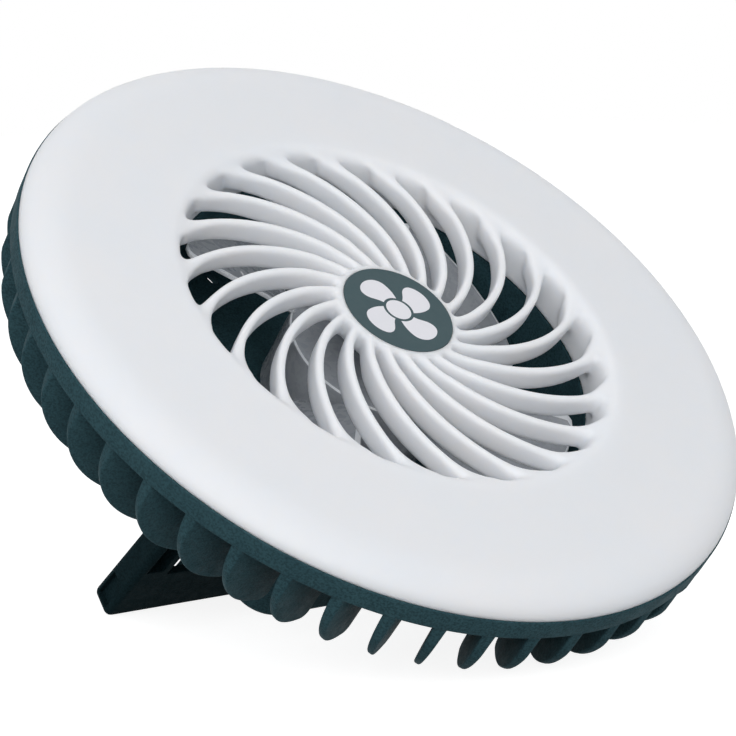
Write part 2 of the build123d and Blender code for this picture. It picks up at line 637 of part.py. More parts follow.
def rear_feet():
    """Soft pads under the rear cover, for standing face up."""
    places = corners(BOX_HALF - FOOT_PAD_INSET)
    return Compound([disc(FOOT_PAD_R, -BOX_BACK - FOOT_PAD_THICK, -BOX_BACK, x, y) for x, y in places])


def rear_screws():
    """Screws that hold the rear cover."""
    length = REAR_TOP - REAR_SCREW_SEAT + REAR_SCREW_LENGTH - SCREW_END
    return Compound([screw(SCREW, length, x, y, REAR_SCREW_SEAT) for x, y in corners(REAR_SCREW_AT)])


def housing_screws():
    """Screws that hold the drum's flange against the deck."""
    length = FLANGE_THICK + DECK_THICK + FLANGE_BOSS_H - 2 * SCREW_END
    one = screw(SCREW, length, FLANGE_SCREW_RING, 0, -RIM_H - FLANGE_THICK)
    return Compound(spin(one, FLANGE_SCREWS, BOSS_PHASE))


# ---------------------------------------------------------------- motor and rotor
def motor_bracket():
    """Round steel plate on the drum floor that carries the motor."""
    nose = disc(BUSH_R + NOSE_WALL + NOSE_CLEAR, FLOOR_TOP - 1, BRACKET_TOP + 1)
    plate = disc(BRACKET_R, FLOOR_TOP, BRACKET_TOP) - nose
    screw_hole = disc(SMALL_SCREW[0] + SCREW_CLEAR, FLOOR_TOP - 1, BRACKET_TOP + 1, BRACKET_SCREW_R, 0)
    motor_hole = disc(SMALL_SCREW[0] + SCREW_CLEAR, FLOOR_TOP - 1, BRACKET_TOP + 1, MOTOR_SCREW_R, 0)
    plate -= spin(screw_hole, BRACKET_SCREW_COUNT, BRACKET_PHASE)
    return plate - spin(motor_hole, MOTOR_SCREW_COUNT)


def bracket_screws():
    """Screws through the bracket into the drum floor."""
    length = BRACKET_THICK + FLOOR_THICK + BRACKET_BOSS_H - SCREW_END
    one = screw(SMALL_SCREW, length, BRACKET_SCREW_R, 0, BRACKET_TOP, up=False)
    return Compound(spin(one, BRACKET_SCREW_COUNT, BRACKET_PHASE))


def motor_screws():
    """Screws through the bracket into the front wall of the can."""
    one = screw(SMALL_SCREW, BRACKET_THICK + MOTOR_SCREW_BITE, MOTOR_SCREW_R, 0, BRACKET_TOP, up=False)
    return Compound(spin(one, MOTOR_SCREW_COUNT))


def motor_can():
    """Steel can, closed at the front, with a nose that holds the front bearing."""
    nose_top = FLOOR_TOP + BUSH_LENGTH
    can = disc(MOTOR_R, MOTOR_BACK + MOTOR_WALL, FLOOR_TOP) + disc(BUSH_R + NOSE_WALL, FLOOR_TOP, nose_top)
    can -= disc(MAGNET_R, MOTOR_BACK, FLOOR_TOP - MOTOR_FACE)
    can -= disc(BUSH_R, FLOOR_TOP, nose_top + 1)
    can -= disc(SHAFT_R + AIR_GAP, FLOOR_TOP - MOTOR_FACE - 1, nose_top + 1)
    hole = disc(SMALL_SCREW[0] + PILOT_CLEAR, FLOOR_TOP - MOTOR_FACE - 1, FLOOR_TOP + 1, MOTOR_SCREW_R, 0)
    return can - spin(hole, MOTOR_SCREW_COUNT)


def motor_end_cap():
    """Rear cap of the motor, with a cup for the rear bearing."""
    cap = disc(MOTOR_R, MOTOR_BACK, REAR_BUSH_Z) + disc(BUSH_R + NOSE_WALL, MOTOR_BACK, REAR_BUSH_Z + BUSH_LENGTH)
    return cap - disc(BUSH_R, REAR_BUSH_Z, REAR_BUSH_Z + BUSH_LENGTH + 1)


def motor_magnets():
    """Two curved magnets against the inside of the can."""
    low = REAR_BUSH_Z + MAGNET_ENDS[0]
    high = FLOOR_TOP - MOTOR_FACE - MAGNET_ENDS[1]
    half = MAGNET_SPLIT / 2
    gap = block((-half, half), (-MOTOR_R, MOTOR_R), (MOTOR_BACK, FLOOR_TOP))
    return ring(MAGNET_R, MAGNET_R - MAGNET_THICK, low, high) - gap


def motor_armature():
    """Slotted core on the shaft."""
    low = REAR_BUSH_Z + BUSH_LENGTH + ARMATURE_ENDS[0]
    high = FLOOR_TOP - MOTOR_FACE - ARMATURE_ENDS[1]
    depth, width = ARMATURE_SLOT
    slot = block((ARMATURE_R - depth, ARMATURE_R + 1), (-width / 2, width / 2), (MOTOR_BACK, FLOOR_TOP))
    return ring(ARMATURE_R, SHAFT_R, low, high) - spin(slot, ARMATURE_SLOTS)


def motor_shaft():
    """Shaft from the rear bearing to just past the rotor's clip."""
    shaft = disc(SHAFT_R, REAR_BUSH_Z + SHAFT_END, CLIP_THICK + SHAFT_PROUD - ROTOR_FRONT)
    return chamfer(shaft.edges().filter_by(GeomType.CIRCLE), SHAFT_CHAMFER)


def bearing(low):
    """Plain bush that the shaft runs in."""
    return ring(BUSH_R, SHAFT_R + SHAFT_FIT, low, low + BUSH_LENGTH)


def blade():
    """One screw-shaped blade: a sheet of even pitch from the hub to the tip, thickened."""
    root = ROTOR_HUB_R - BLADE_SINK
    rows = []
    for i in range(BLADE_ROWS + 1):
        share = i / BLADE_ROWS
        front, back, start = (a + (b - a) * share for a, b in (BLADE_FRONT, BLADE_BACK, BLADE_ANGLE))
        row = []
        for j in range(BLADE_STEPS + 1):
            depth = front + (back - front) * j / BLADE_STEPS
            turn = (depth - front) / BLADE_PITCH * 360
            x, y = polar(root + (ROTOR_R - root) * share, start - turn)
            row.append(Vector(x, y, -depth))
        rows.append(row)
    sheet = Face.make_surface_from_array_of_points(rows, tol=0.02)
    return thicken(sheet, BLADE_THICK / 2, both=True)


def fan_rotor():
    """Hub cup with its boss and the blades, one clear moulding."""
    front = -ROTOR_FRONT
    rim = front - ROTOR_STEP
    back = front - ROTOR_HUB_H
    hub = fillet(disc(ROTOR_HUB_R, back, rim).edges().sort_by(Axis.Z)[-1], ROTOR_HUB_ROUND)
    body = hub + spin(blade(), BLADE_COUNT) + disc(ROTOR_STEP_R, rim, front)
    body -= disc(ROTOR_HUB_R - ROTOR_WALL, back - 1, rim - ROTOR_WALL)
    body += disc(ROTOR_BOSS_R, back + ROTOR_BOSS_END, rim - ROTOR_WALL)
    return body - disc(SHAFT_R, back, front + 1)


def rotor_clip():
    """Clip on the shaft in front of the rotor."""
    return ring(CLIP_R, SHAFT_R, -ROTOR_FRONT, CLIP_THICK - ROTOR_FRONT)


# ---------------------------------------------------------------- batteries
def battery_cells():
    """Two round cells beside the motor."""
    cells = []
    for side in (-1, 1):
        cell = rod_y(CELL_R, -CELL_LENGTH / 2, CELL_LENGTH / 2, side * CELL_X, CELL_Z)
        cells.append(fillet(cell.edges().filter_by(GeomType.CIRCLE), CELL_ROUND))
    return Compound(cells)


def battery_tray():
    """A cradle under each cell with a wall across each end."""
    trays = []
    end = CELL_LENGTH / 2 + STRIP[1] + CELL_CLEAR
    low = CELL_Z - CELL_R - TRAY_WALL
    for side in (-1, 1):
        x = side * CELL_X
        outer = end + TRAY_WALL
        cradle = block((x - CELL_R, x + CELL_R), (-outer, outer), (low, CELL_Z - CRADLE_TOP))
        cradle -= rod_y(CELL_R + CELL_CLEAR, -end, end, x, CELL_Z)
        trays.append(cradle)
    return Compound(trays)


def battery_contacts():
    """A contact strip at each end of each cell."""
    strips = []
    for x in (-CELL_X, CELL_X):
        for side in (-1, 1):
            y = side * (CELL_LENGTH / 2 + STRIP[1] / 2)
            strips.append(Pos(x, y, CELL_Z) * Box(*STRIP))
    return Compound(strips)


# ---------------------------------------------------------------- electronics and buttons
def control_board():
    """Board behind the button wall, on two posts of the rear cover."""
    low = -PCB_DEPTH - PCB_THICK
    board = block((-PCB_HALF, PCB_HALF), (PCB_FRONT_Y, PCB_EDGE_Y), (low, -PCB_DEPTH))
    for x in (-PCB_SCREW_X, PCB_SCREW_X):
        board -= disc(SMALL_SCREW[0] + SCREW_CLEAR, low - 1, 1 - PCB_DEPTH, x, PCB_SCREW_Y)
    return board


def board_screws():
    """Screws through the board into its posts."""
    places = (-PCB_SCREW_X, PCB_SCREW_X)
    screws = [screw(SMALL_SCREW, PCB_SCREW_LENGTH, x, PCB_SCREW_Y, -PCB_DEPTH, up=False) for x in places]
    return Compound(screws)


def board_parts():
    """Coil, chips and capacitors standing on the control board."""
    parts = [Pos(COIL_AT[0], PCB_FRONT_Y + COIL_AT[1], COIL[2] / 2 - PCB_DEPTH) * Box(*COIL)]
    for side in (-1, 1):
        x, y = side * CONTROLLER_AT[0], PCB_FRONT_Y + CONTROLLER_AT[1]
        parts.append(Pos(x, y, CONTROLLER[2] / 2 - PCB_DEPTH) * Box(*CONTROLLER))
        x, y = side * CAPACITOR_AT[0], PCB_FRONT_Y + CAPACITOR_AT[1]
        parts.append(disc(CAPACITOR[0], -PCB_DEPTH, CAPACITOR[1] - PCB_DEPTH, x, y))
    return Compound(parts)


def charge_socket():
    """Metal shell of the charging socket with the tongue inside it."""
    length, depth, height = SOCKET
    mouth = BOX_HALF - SOCKET_INSET
    low = -PCB_DEPTH
    shell = block((-length / 2, length / 2), (mouth - depth, mouth), (low, low + height))
    shell = fillet(shell.edges().filter_by(Axis.Y), SOCKET_ROUND)
    inner = block((-length / 2 + SOCKET_WALL, length / 2 - SOCKET_WALL), (mouth - depth + SOCKET_BACK, mouth + 1),
                  (low + SOCKET_WALL, low + height - SOCKET_WALL))
    inner = fillet(inner.edges().filter_by(Axis.Y), SOCKET_ROUND - SOCKET_WALL)
    middle = low + height / 2
    half_wide, half_thick = TONGUE[0] / 2, TONGUE[1] / 2
    tongue = block((-half_wide, half_wide), (mouth - depth + SOCKET_WALL, mouth - TONGUE_INSET),
                   (middle - half_thick, middle + half_thick))
    return shell - inner + tongue


def push_switch(x):
    """Small side-push switch on the board, with a well that the button's stem enters."""
    length, depth, height = SWITCH
    body = block((x - length / 2, x + length / 2), (SWITCH_FACE_Y - depth, SWITCH_FACE_Y),
                 (-PCB_DEPTH, -PCB_DEPTH + height))
    return body - rod_y(SWITCH_WELL[0], SWITCH_FACE_Y - SWITCH_WELL[1], SWITCH_FACE_Y + 1, x, BUTTON_Z)


def push_button(x):
    """Button cap with its retaining flange and stem."""
    outer = BOX_HALF + BUTTON_PROUD
    cap = rod_y(BUTTON_R, FLANGE_FACE_Y - BUTTON_BITE, outer, x, BUTTON_Z)
    cap = fillet(cap.faces().sort_by(Axis.Y)[-1].edges(), BUTTON_ROUND)
    flange = rod_y(BUTTON_FLANGE_R, FLANGE_FACE_Y - BUTTON_FLANGE, FLANGE_FACE_Y, x, BUTTON_Z)
    stem = rod_y(BUTTON_STEM_R, SWITCH_FACE_Y + STEM_GAP, FLANGE_FACE_Y - BUTTON_BITE, x, BUTTON_Z)
    return cap + flange + stem


def light_pipe():
    """Clear rod that carries the charge light from the board to the wall."""
    bend = PCB_EDGE_Y - SWITCH[1] - PIPE_R - PIPE_GAP
    across = rod_y(PIPE_R, bend, BOX_HALF + PIPE_PROUD, 0, -PIPE_DEPTH)
    upright = disc(PIPE_R, PIPE_LIFT - PCB_DEPTH, -PIPE_DEPTH, 0, bend)
    return across + upright + Pos(0, bend, -PIPE_DEPTH) * Sphere(PIPE_R)


# ---------------------------------------------------------------- stand and hinge
def floor_height():
    """World height of the floor below the fan's centre: the lowest point of the tipped rim."""
    return (Rot(TILT, 0, 0) * finned_rim_solid).bounding_box().min.Z


def stand_length():
    """Hinge axis to foot, so that the rounded front corner of the foot stands on the floor."""
    tilt = radians(TILT)
    down = radians(TILT + LEAN)
    hinge = HINGE_Y * sin(tilt) + HINGE_Z * cos(tilt)
    corner = STAND_THICK / 2 * sin(down) - STAND_ROUND * (sin(down) + cos(down) - 1)
    return (hinge - FLOOR - corner + LAND_DEPTH) / cos(down)


def on_outside(point, length):
    """Whether a point of the stand lies on its outer outline: the outer sides and the foot."""
    return abs(point.X) > ARM_OUT - STAND_CORNER / 2 and point.Z < -1 or point.Z < STAND_CORNER / 2 - length


def stand():
    """U-shaped stand, drawn straight down from its hinge and then leaned back."""
    half = STAND_THICK / 2
    eye = STAND_THICK / 2
    length = stand_length()
    arch = length - STAND_PLATE
    plate = block((-ARM_OUT, ARM_OUT), (-half, half), (-length, -arch))
    for side in (-1, 1):
        x = sorted((side * ARM_IN, side * ARM_OUT))
        plate += block(x, (-half, half), (-arch, 0))
        plate += rod_x(eye, x[0], x[1], 0, 0)
    outer = [e for e in plate.edges().filter_by(Axis.Y) if e.center().Z < 1 - length]
    plate = fillet(outer, STAND_CORNER)
    rim = [e for e in plate.edges() if abs(abs(e.center().Y) - half) < 0.01 and on_outside(e.center(), length)]
    plate = fillet(rim, STAND_ROUND)

    # hollow behind the cross plate, open to the rear, with upright ribs left in it
    skin = STAND_SKIN
    hollow = block((-ARM_OUT + skin, ARM_OUT - skin), (-half + skin, half + 1), (-length + skin, -arch + 1))
    for k in range(RIB_PLATE_COUNT):
        x = (k - (RIB_PLATE_COUNT - 1) / 2) * 2 * ARM_IN / RIB_PLATE_COUNT
        hollow -= block((x - RIB_PLATE_THICK / 2, x + RIB_PLATE_THICK / 2), (-half, half + 2), (-length, 0))
    keep = STAND_ARM + skin
    for side in (-1, 1):
        hollow -= block(sorted((side * (ARM_OUT - keep), side * ARM_OUT)), (-half, half + 2), (-length, 0))
    plate -= hollow

    # pocket in the front of each arm, finger grip in each side, bore for each pin
    for side in (-1, 1):
        x = sorted((side * (ARM_IN + skin), side * (ARM_OUT - skin)))
        plate -= block(x, (-half - 1, half - skin), (-arch + skin, -STAND_EYE))
        grip = sorted((side * (ARM_OUT - GRIP[2]), side * (ARM_OUT + 1)))
        low = -length + GRIP_LIFT
        plate -= block(grip, (-GRIP[1] / 2, GRIP[1] / 2), (low, low + GRIP[0]))
        plate -= rod_x(PIN_R + PIN_FIT, side * (ARM_IN - 1), side * (ARM_IN + PIN_REACH + PIN_END), 0, 0)
    leaned = Pos(0, HINGE_Y, HINGE_Z) * Rot(LEAN, 0, 0) * plate

    # the land that stands on the floor
    below = Rot(-TILT, 0, 0) * block((-2 * ARM_OUT, 2 * ARM_OUT), (-500, 500), (FLOOR - 50, FLOOR))
    return leaned - below


def hinge_pin(side):
    """Headed pin, pushed out from inside the box into an arm of the stand."""
    head_r, head_h = PIN_HEAD
    inner = BOX_IN - PIN_BOSS
    pin = rod_x(PIN_R, side * inner, side * (ARM_IN + PIN_REACH), HINGE_Y, HINGE_Z)
    return pin + rod_x(head_r, side * (inner - head_h), side * inner, HINGE_Y, HINGE_Z)


def friction_washer(side):
    """Washer between the box and an arm, so that the stand stays where it is put."""
    near = side * (BOX_HALF + WASHER_CLEAR)
    far = side * (ARM_IN - WASHER_CLEAR)
    hole = rod_x(PIN_R + PIN_FIT, side * BOX_HALF, side * ARM_IN, HINGE_Y, HINGE_Z)
    return rod_x(WASHER_R, near, far, HINGE_Y, HINGE_Z) - hole


# ---------------------------------------------------------------- assembly
finned_rim_solid = finned_rim()
FLOOR = floor_height()

PIECES = {
    "front_cover": front_cover(),
    "hub_badge": hub_badge(),
    "badge_symbol": badge_symbol(),
    "light_reflector": light_reflector(),
    "led_board": led_board(),
    "led_chips": led_chips(),
    "thermal_pad": thermal_pad(),
    "cover_seal": cover_seal(),
    "finned_rim": finned_rim_solid,
    "rear_housing": rear_housing(),
    "housing_screws": housing_screws(),
    "rear_cover": rear_cover(),
    "rear_screws": rear_screws(),
    "rear_feet": rear_feet(),
    "motor_bracket": motor_bracket(),
    "bracket_screws": bracket_screws(),
    "motor_screws": motor_screws(),
    "motor_can": motor_can(),
    "motor_end_cap": motor_end_cap(),
    "motor_magnets": motor_magnets(),
    "motor_armature": motor_armature(),
    "motor_shaft": motor_shaft(),
    "front_bearing": bearing(FLOOR_TOP),
    "rear_bearing": bearing(MOTOR_BACK + 1),
    "fan_rotor": fan_rotor(),
    "rotor_clip": rotor_clip(),
    "battery_cells": battery_cells(),
    "battery_tray": battery_tray(),
    "battery_contacts": battery_contacts(),
    "control_board": control_board(),
    "board_screws": board_screws(),
    "board_parts": board_parts(),
    "charge_socket": charge_socket(),
    "fan_switch": push_switch(BUTTON_X),
    "light_switch": push_switch(-BUTTON_X),
    "fan_button": push_button(BUTTON_X),
    "light_button": push_button(-BUTTON_X),
    "indicator_lens": light_pipe(),
    "stand": stand(),
    "hinge_pin_right": hinge_pin(1),
    "hinge_pin_left": hinge_pin(-1),
    "friction_washer_right": friction_washer(1),
    "friction_washer_left": friction_washer(-1),
}


def place(shape, shift):
    """Tip a piece up from its back and set it in the standing frame."""
    return Pos(0, shift, -FLOOR) * Rot(TILT, 0, 0) * shape


standing = Compound([place(shape, 0) for shape in PIECES.values()]).bounding_box()
SHIFT = -(standing.min.Y + standing.max.Y) / 2

os.makedirs("parts", exist_ok=True)
for name, shape in PIECES.items():
    export_step(place(shape, SHIFT), "parts/" + name + ".step")

tilt = radians(TILT)
print("floor below fan centre %.4f  shift %.4f  stand length %.4f" % (-FLOOR, SHIFT, stand_length()))
for label, y, z in (("fan centre", 0, 0), ("hinge", HINGE_Y, HINGE_Z), ("button", BOX_HALF, BUTTON_Z)):
    print("%s y %.4f z %.4f" % (label, y * cos(tilt) - z * sin(tilt) + SHIFT, y * sin(tilt) + z * cos(tilt) - FLOOR))
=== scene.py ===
"""Looks of a portable camping fan: opal lamp ring, finned teal housing, clear rotor and folding stand.

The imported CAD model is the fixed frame.  Lengths are millimetres in the fan's own space, unless a name or a
docstring says metres.  That space has its origin in the middle of the parting circle between cover and rim,
z along the fan axis towards the face and x along the stand's hinge.  FanSpace turns its millimetres into the
frame's metres.
"""
from __future__ import annotations

import json
import logging
import math
from collections.abc import Iterator
from contextlib import contextmanager
from dataclasses import dataclass, field
from enum import Enum
from functools import cached_property

import bmesh
import bpy
import numpy as np
from mathutils import Matrix, Vector

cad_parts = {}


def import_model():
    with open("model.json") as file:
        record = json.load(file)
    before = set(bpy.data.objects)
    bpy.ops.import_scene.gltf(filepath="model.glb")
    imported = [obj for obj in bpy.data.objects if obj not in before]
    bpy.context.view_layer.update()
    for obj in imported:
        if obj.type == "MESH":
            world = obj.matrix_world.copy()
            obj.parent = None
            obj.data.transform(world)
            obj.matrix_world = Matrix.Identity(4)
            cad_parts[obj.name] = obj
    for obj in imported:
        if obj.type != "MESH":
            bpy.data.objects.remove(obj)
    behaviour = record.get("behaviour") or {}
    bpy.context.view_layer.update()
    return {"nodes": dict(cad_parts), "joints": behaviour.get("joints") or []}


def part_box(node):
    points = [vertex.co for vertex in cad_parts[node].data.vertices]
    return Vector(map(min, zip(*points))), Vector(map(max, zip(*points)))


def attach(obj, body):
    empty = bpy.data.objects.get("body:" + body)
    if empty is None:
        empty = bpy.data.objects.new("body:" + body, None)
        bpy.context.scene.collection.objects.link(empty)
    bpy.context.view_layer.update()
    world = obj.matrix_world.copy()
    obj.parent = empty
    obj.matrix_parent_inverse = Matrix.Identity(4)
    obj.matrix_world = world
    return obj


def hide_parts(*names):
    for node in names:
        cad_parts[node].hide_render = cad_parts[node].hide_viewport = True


LOG = logging.getLogger("camping_fan")
MM = 0.001
TURN = 2.0 * math.pi
IMAGE_SIZE = 736

Colour = tuple[float, float, float]
Pair = tuple[float, float]
Triple = tuple[float, float, float]
Face = tuple[int, ...]
Solid = tuple[np.ndarray, list[Face]]
Socket = bpy.types.NodeSocket
Inputs = dict[str | int, object]

BLACK: Colour = (0.0, 0.0, 0.0)
WHITE: Colour = (1.0, 1.0, 1.0)
EDGE_SAMPLES = 4


# ---------------------------------------------------------------- space and mesh tools
class FanSpace:
    """The fan's own space, read from the frame's joints."""

    def __init__(self, joints: list[dict]) -> None:
        """Set up the space.

        Args:
            joints: The frame's joints, one of which is rotor_spin.
        """
        spin = next(joint for joint in joints if joint["name"] == "rotor_spin")
        self.centre = Vector(spin["pos_m"])
        z_axis = Vector(spin["axis"]).normalized()
        x_axis = Vector((1.0, 0.0, 0.0))
        axes = Matrix((x_axis, z_axis.cross(x_axis), z_axis)).transposed().to_4x4()
        self.table = np.array(Matrix.Translation(self.centre) @ axes @ Matrix.Scale(MM, 4))

    def place(self, points: np.ndarray) -> np.ndarray:
        """Turn fan-space millimetres, an array of shape (n, 3), into frame metres."""
        return points @ self.table[:3, :3].T + self.table[:3, 3]


def assign(owner: object, settings: dict[str, object]) -> None:
    """Set properties of a Blender node, modifier, camera or lamp."""
    for key, value in settings.items():
        setattr(owner, key, value)


@contextmanager
def opened(mesh: bpy.types.Mesh) -> Iterator[bmesh.types.BMesh]:
    """Open a mesh for editing and write it back at the end.

    Args:
        mesh: The mesh.

    Yields:
        Its editable form.
    """
    work = bmesh.new()
    work.from_mesh(mesh)
    yield work
    work.to_mesh(mesh)
    work.free()


def face_outward(mesh: bpy.types.Mesh) -> None:
    """Turn every face of a mesh outward."""
    with opened(mesh) as work:
        bmesh.ops.recalc_face_normals(work, faces=work.faces)


def new_mesh(name: str, points: np.ndarray, faces: list[Face]) -> bpy.types.Mesh:
    """Make a mesh.

    Args:
        name: Its name.
        points: Array of shape (n, 3).
        faces: Faces that index those points.

    Returns:
        The mesh.
    """
    mesh = bpy.data.meshes.new(name)
    mesh.from_pydata(points.tolist(), [], faces)
    return mesh


def linked(name: str, data: bpy.types.ID) -> bpy.types.Object:
    """Make an object and link it into the scene.

    Args:
        name: Its name.
        data: Its mesh, camera or lamp.

    Returns:
        The object.
    """
    made = bpy.data.objects.new(name, data)
    bpy.context.scene.collection.objects.link(made)
    return made


def modified(name: str, solid: Solid, steps: dict[str, dict[str, object]]) -> Solid:
    """Run modifiers over points and faces.

    Args:
        name: Name of the passing object.
        solid: Points and faces.
        steps: The settings of each modifier by its type, in order.

    Returns:
        The points and faces that come out.
    """
    mesh = new_mesh(name, *solid)
    face_outward(mesh)
    piece = linked(name, mesh)
    for kind, settings in steps.items():
        assign(piece.modifiers.new(kind, kind), settings)
    graph = bpy.context.evaluated_depsgraph_get()
    result = bpy.data.meshes.new_from_object(piece.evaluated_get(graph), depsgraph=graph)
    bpy.data.objects.remove(piece, do_unlink=True)
    flat = np.empty(len(result.vertices) * 3)
    result.vertices.foreach_get("co", flat)
    return flat.reshape(-1, 3), [tuple(polygon.vertices) for polygon in result.polygons]


def grid_faces(rows: int, columns: int, wrap_rows: bool = False, wrap_columns: bool = False) -> list[Face]:
    """Quads of a grid of points laid out row by row.

    Args:
        rows: Number of rows.
        columns: Points in a row.
        wrap_rows: Join the last row to the first.
        wrap_columns: Join the ends of each row.

    Returns:
        The quads.
    """
    faces = []
    for i in range(rows if wrap_rows else rows - 1):
        for j in range(columns if wrap_columns else columns - 1):
            this, after = i * columns, (i + 1) % rows * columns
            right = (j + 1) % columns
            faces.append((this + j, this + right, after + right, after + j))
    return faces


def polar(radius: float | np.ndarray, angle: float | np.ndarray, height: float | np.ndarray) -> np.ndarray:
    """Points from radius, angle and height, each one number or an array of them."""
    return np.stack(np.broadcast_arrays(radius * np.cos(angle), radius * np.sin(angle), height), axis=-1)


def radii(points: np.ndarray) -> np.ndarray:
    """Distance of each point from the fan axis."""
    return np.hypot(points[:, 0], points[:, 1])


def revolved(profile: list[Pair], segments: int) -> Solid:
    """Turn a closed section about the fan axis.

    Args:
        profile: Radius and height of each point of the section.
        segments: Number of steps round the axis.

    Returns:
        Points and faces.
    """
    angles = TURN * np.arange(segments)[:, None] / segments
    radius, height = np.array(profile).T
    faces = grid_faces(segments, len(profile), wrap_rows=True, wrap_columns=True)
    return polar(radius, angles, height).reshape(-1, 3), faces


def turned(points: np.ndarray, angle: float) -> np.ndarray:
    """Turn an array of points about the fan axis by an angle in radians."""
    c, s = math.cos(angle), math.sin(angle)
    return points @ np.array([[c, s, 0.0], [-s, c, 0.0], [0.0, 0.0, 1.0]])


def arc(centre: Pair, radius: Pair, start: float, end: float, steps: int) -> list[Pair]:
    """Points along part of an ellipse.

    Args:
        centre: Its middle.
        radius: Its two half axes.
        start: First angle in degrees.
        end: Last angle in degrees.
        steps: Number of steps.

    Returns:
        The points, both ends included.
    """
    angles = [math.radians(start + (end - start) * k / steps) for k in range(steps + 1)]
    return [(centre[0] + radius[0] * math.cos(a), centre[1] + radius[1] * math.sin(a)) for a in angles]


def ramp(values: np.ndarray, start: float, run: float, most: float = 1.0) -> np.ndarray:
    """Rise from 0 at the start by 1 over the run, and no higher than the most."""
    return np.clip((values - start) / run, 0.0, most)


@dataclass
class Shape:
    """Points and faces that grow as parts are added to them."""

    points: list[np.ndarray] = field(default_factory=list)
    faces: list[Face] = field(default_factory=list)
    marks: list[int] = field(default_factory=list)
    count: int = 0

    def add(self, points: np.ndarray, faces: list[Face], mark: int = 0) -> None:
        """Add a part.

        Args:
            points: Array of shape (n, 3).
            faces: Faces that index those points.
            mark: Material number of these faces.
        """
        self.faces.extend(tuple(self.count + k for k in face) for face in faces)
        self.marks.extend([mark] * len(faces))
        self.points.append(points)
        self.count += len(points)

    def add_round(self, solid: Solid, number: int, first: float = 0.0, mark: int = 0) -> None:
        """Add copies of a part, evenly spaced about the fan axis.

        Args:
            solid: Points and faces of the part.
            number: How many copies.
            first: Angle of the first one in radians.
            mark: Material number of these faces.
        """
        points, faces = solid
        for k in range(number):
            self.add(turned(points, first + TURN * k / number), faces, mark)

    def solid(self) -> Solid:
        """Every point as one array, and every face."""
        return np.concatenate(self.points), self.faces

    def build(self, name: str, space: FanSpace, finishes: list[Moulding],
              smooth_deg: float) -> bpy.types.Object:
        """Make the Blender object.

        Args:
            name: Name of the piece.
            space: The fan's space.
            finishes: Finishes in the order of the marks.
            smooth_deg: Edges sharper than this stay sharp.

        Returns:
            The new object.
        """
        points, faces = self.solid()
        mesh = new_mesh(name, space.place(points), faces)
        mesh.polygons.foreach_set("material_index", self.marks)
        mesh.validate()
        face_outward(mesh)
        for finish in finishes:
            mesh.materials.append(finish.build())
        mesh.shade_smooth()
        mesh.set_sharp_from_angle(angle=math.radians(smooth_deg))
        return linked(name, mesh)


# ---------------------------------------------------------------- finishes
class Grain(Enum):
    """How the fine relief of a surface runs."""

    EVEN = "the same in every direction"
    DRAWN = "long streaks along the part"
    SPECKLE = "small separate spots"


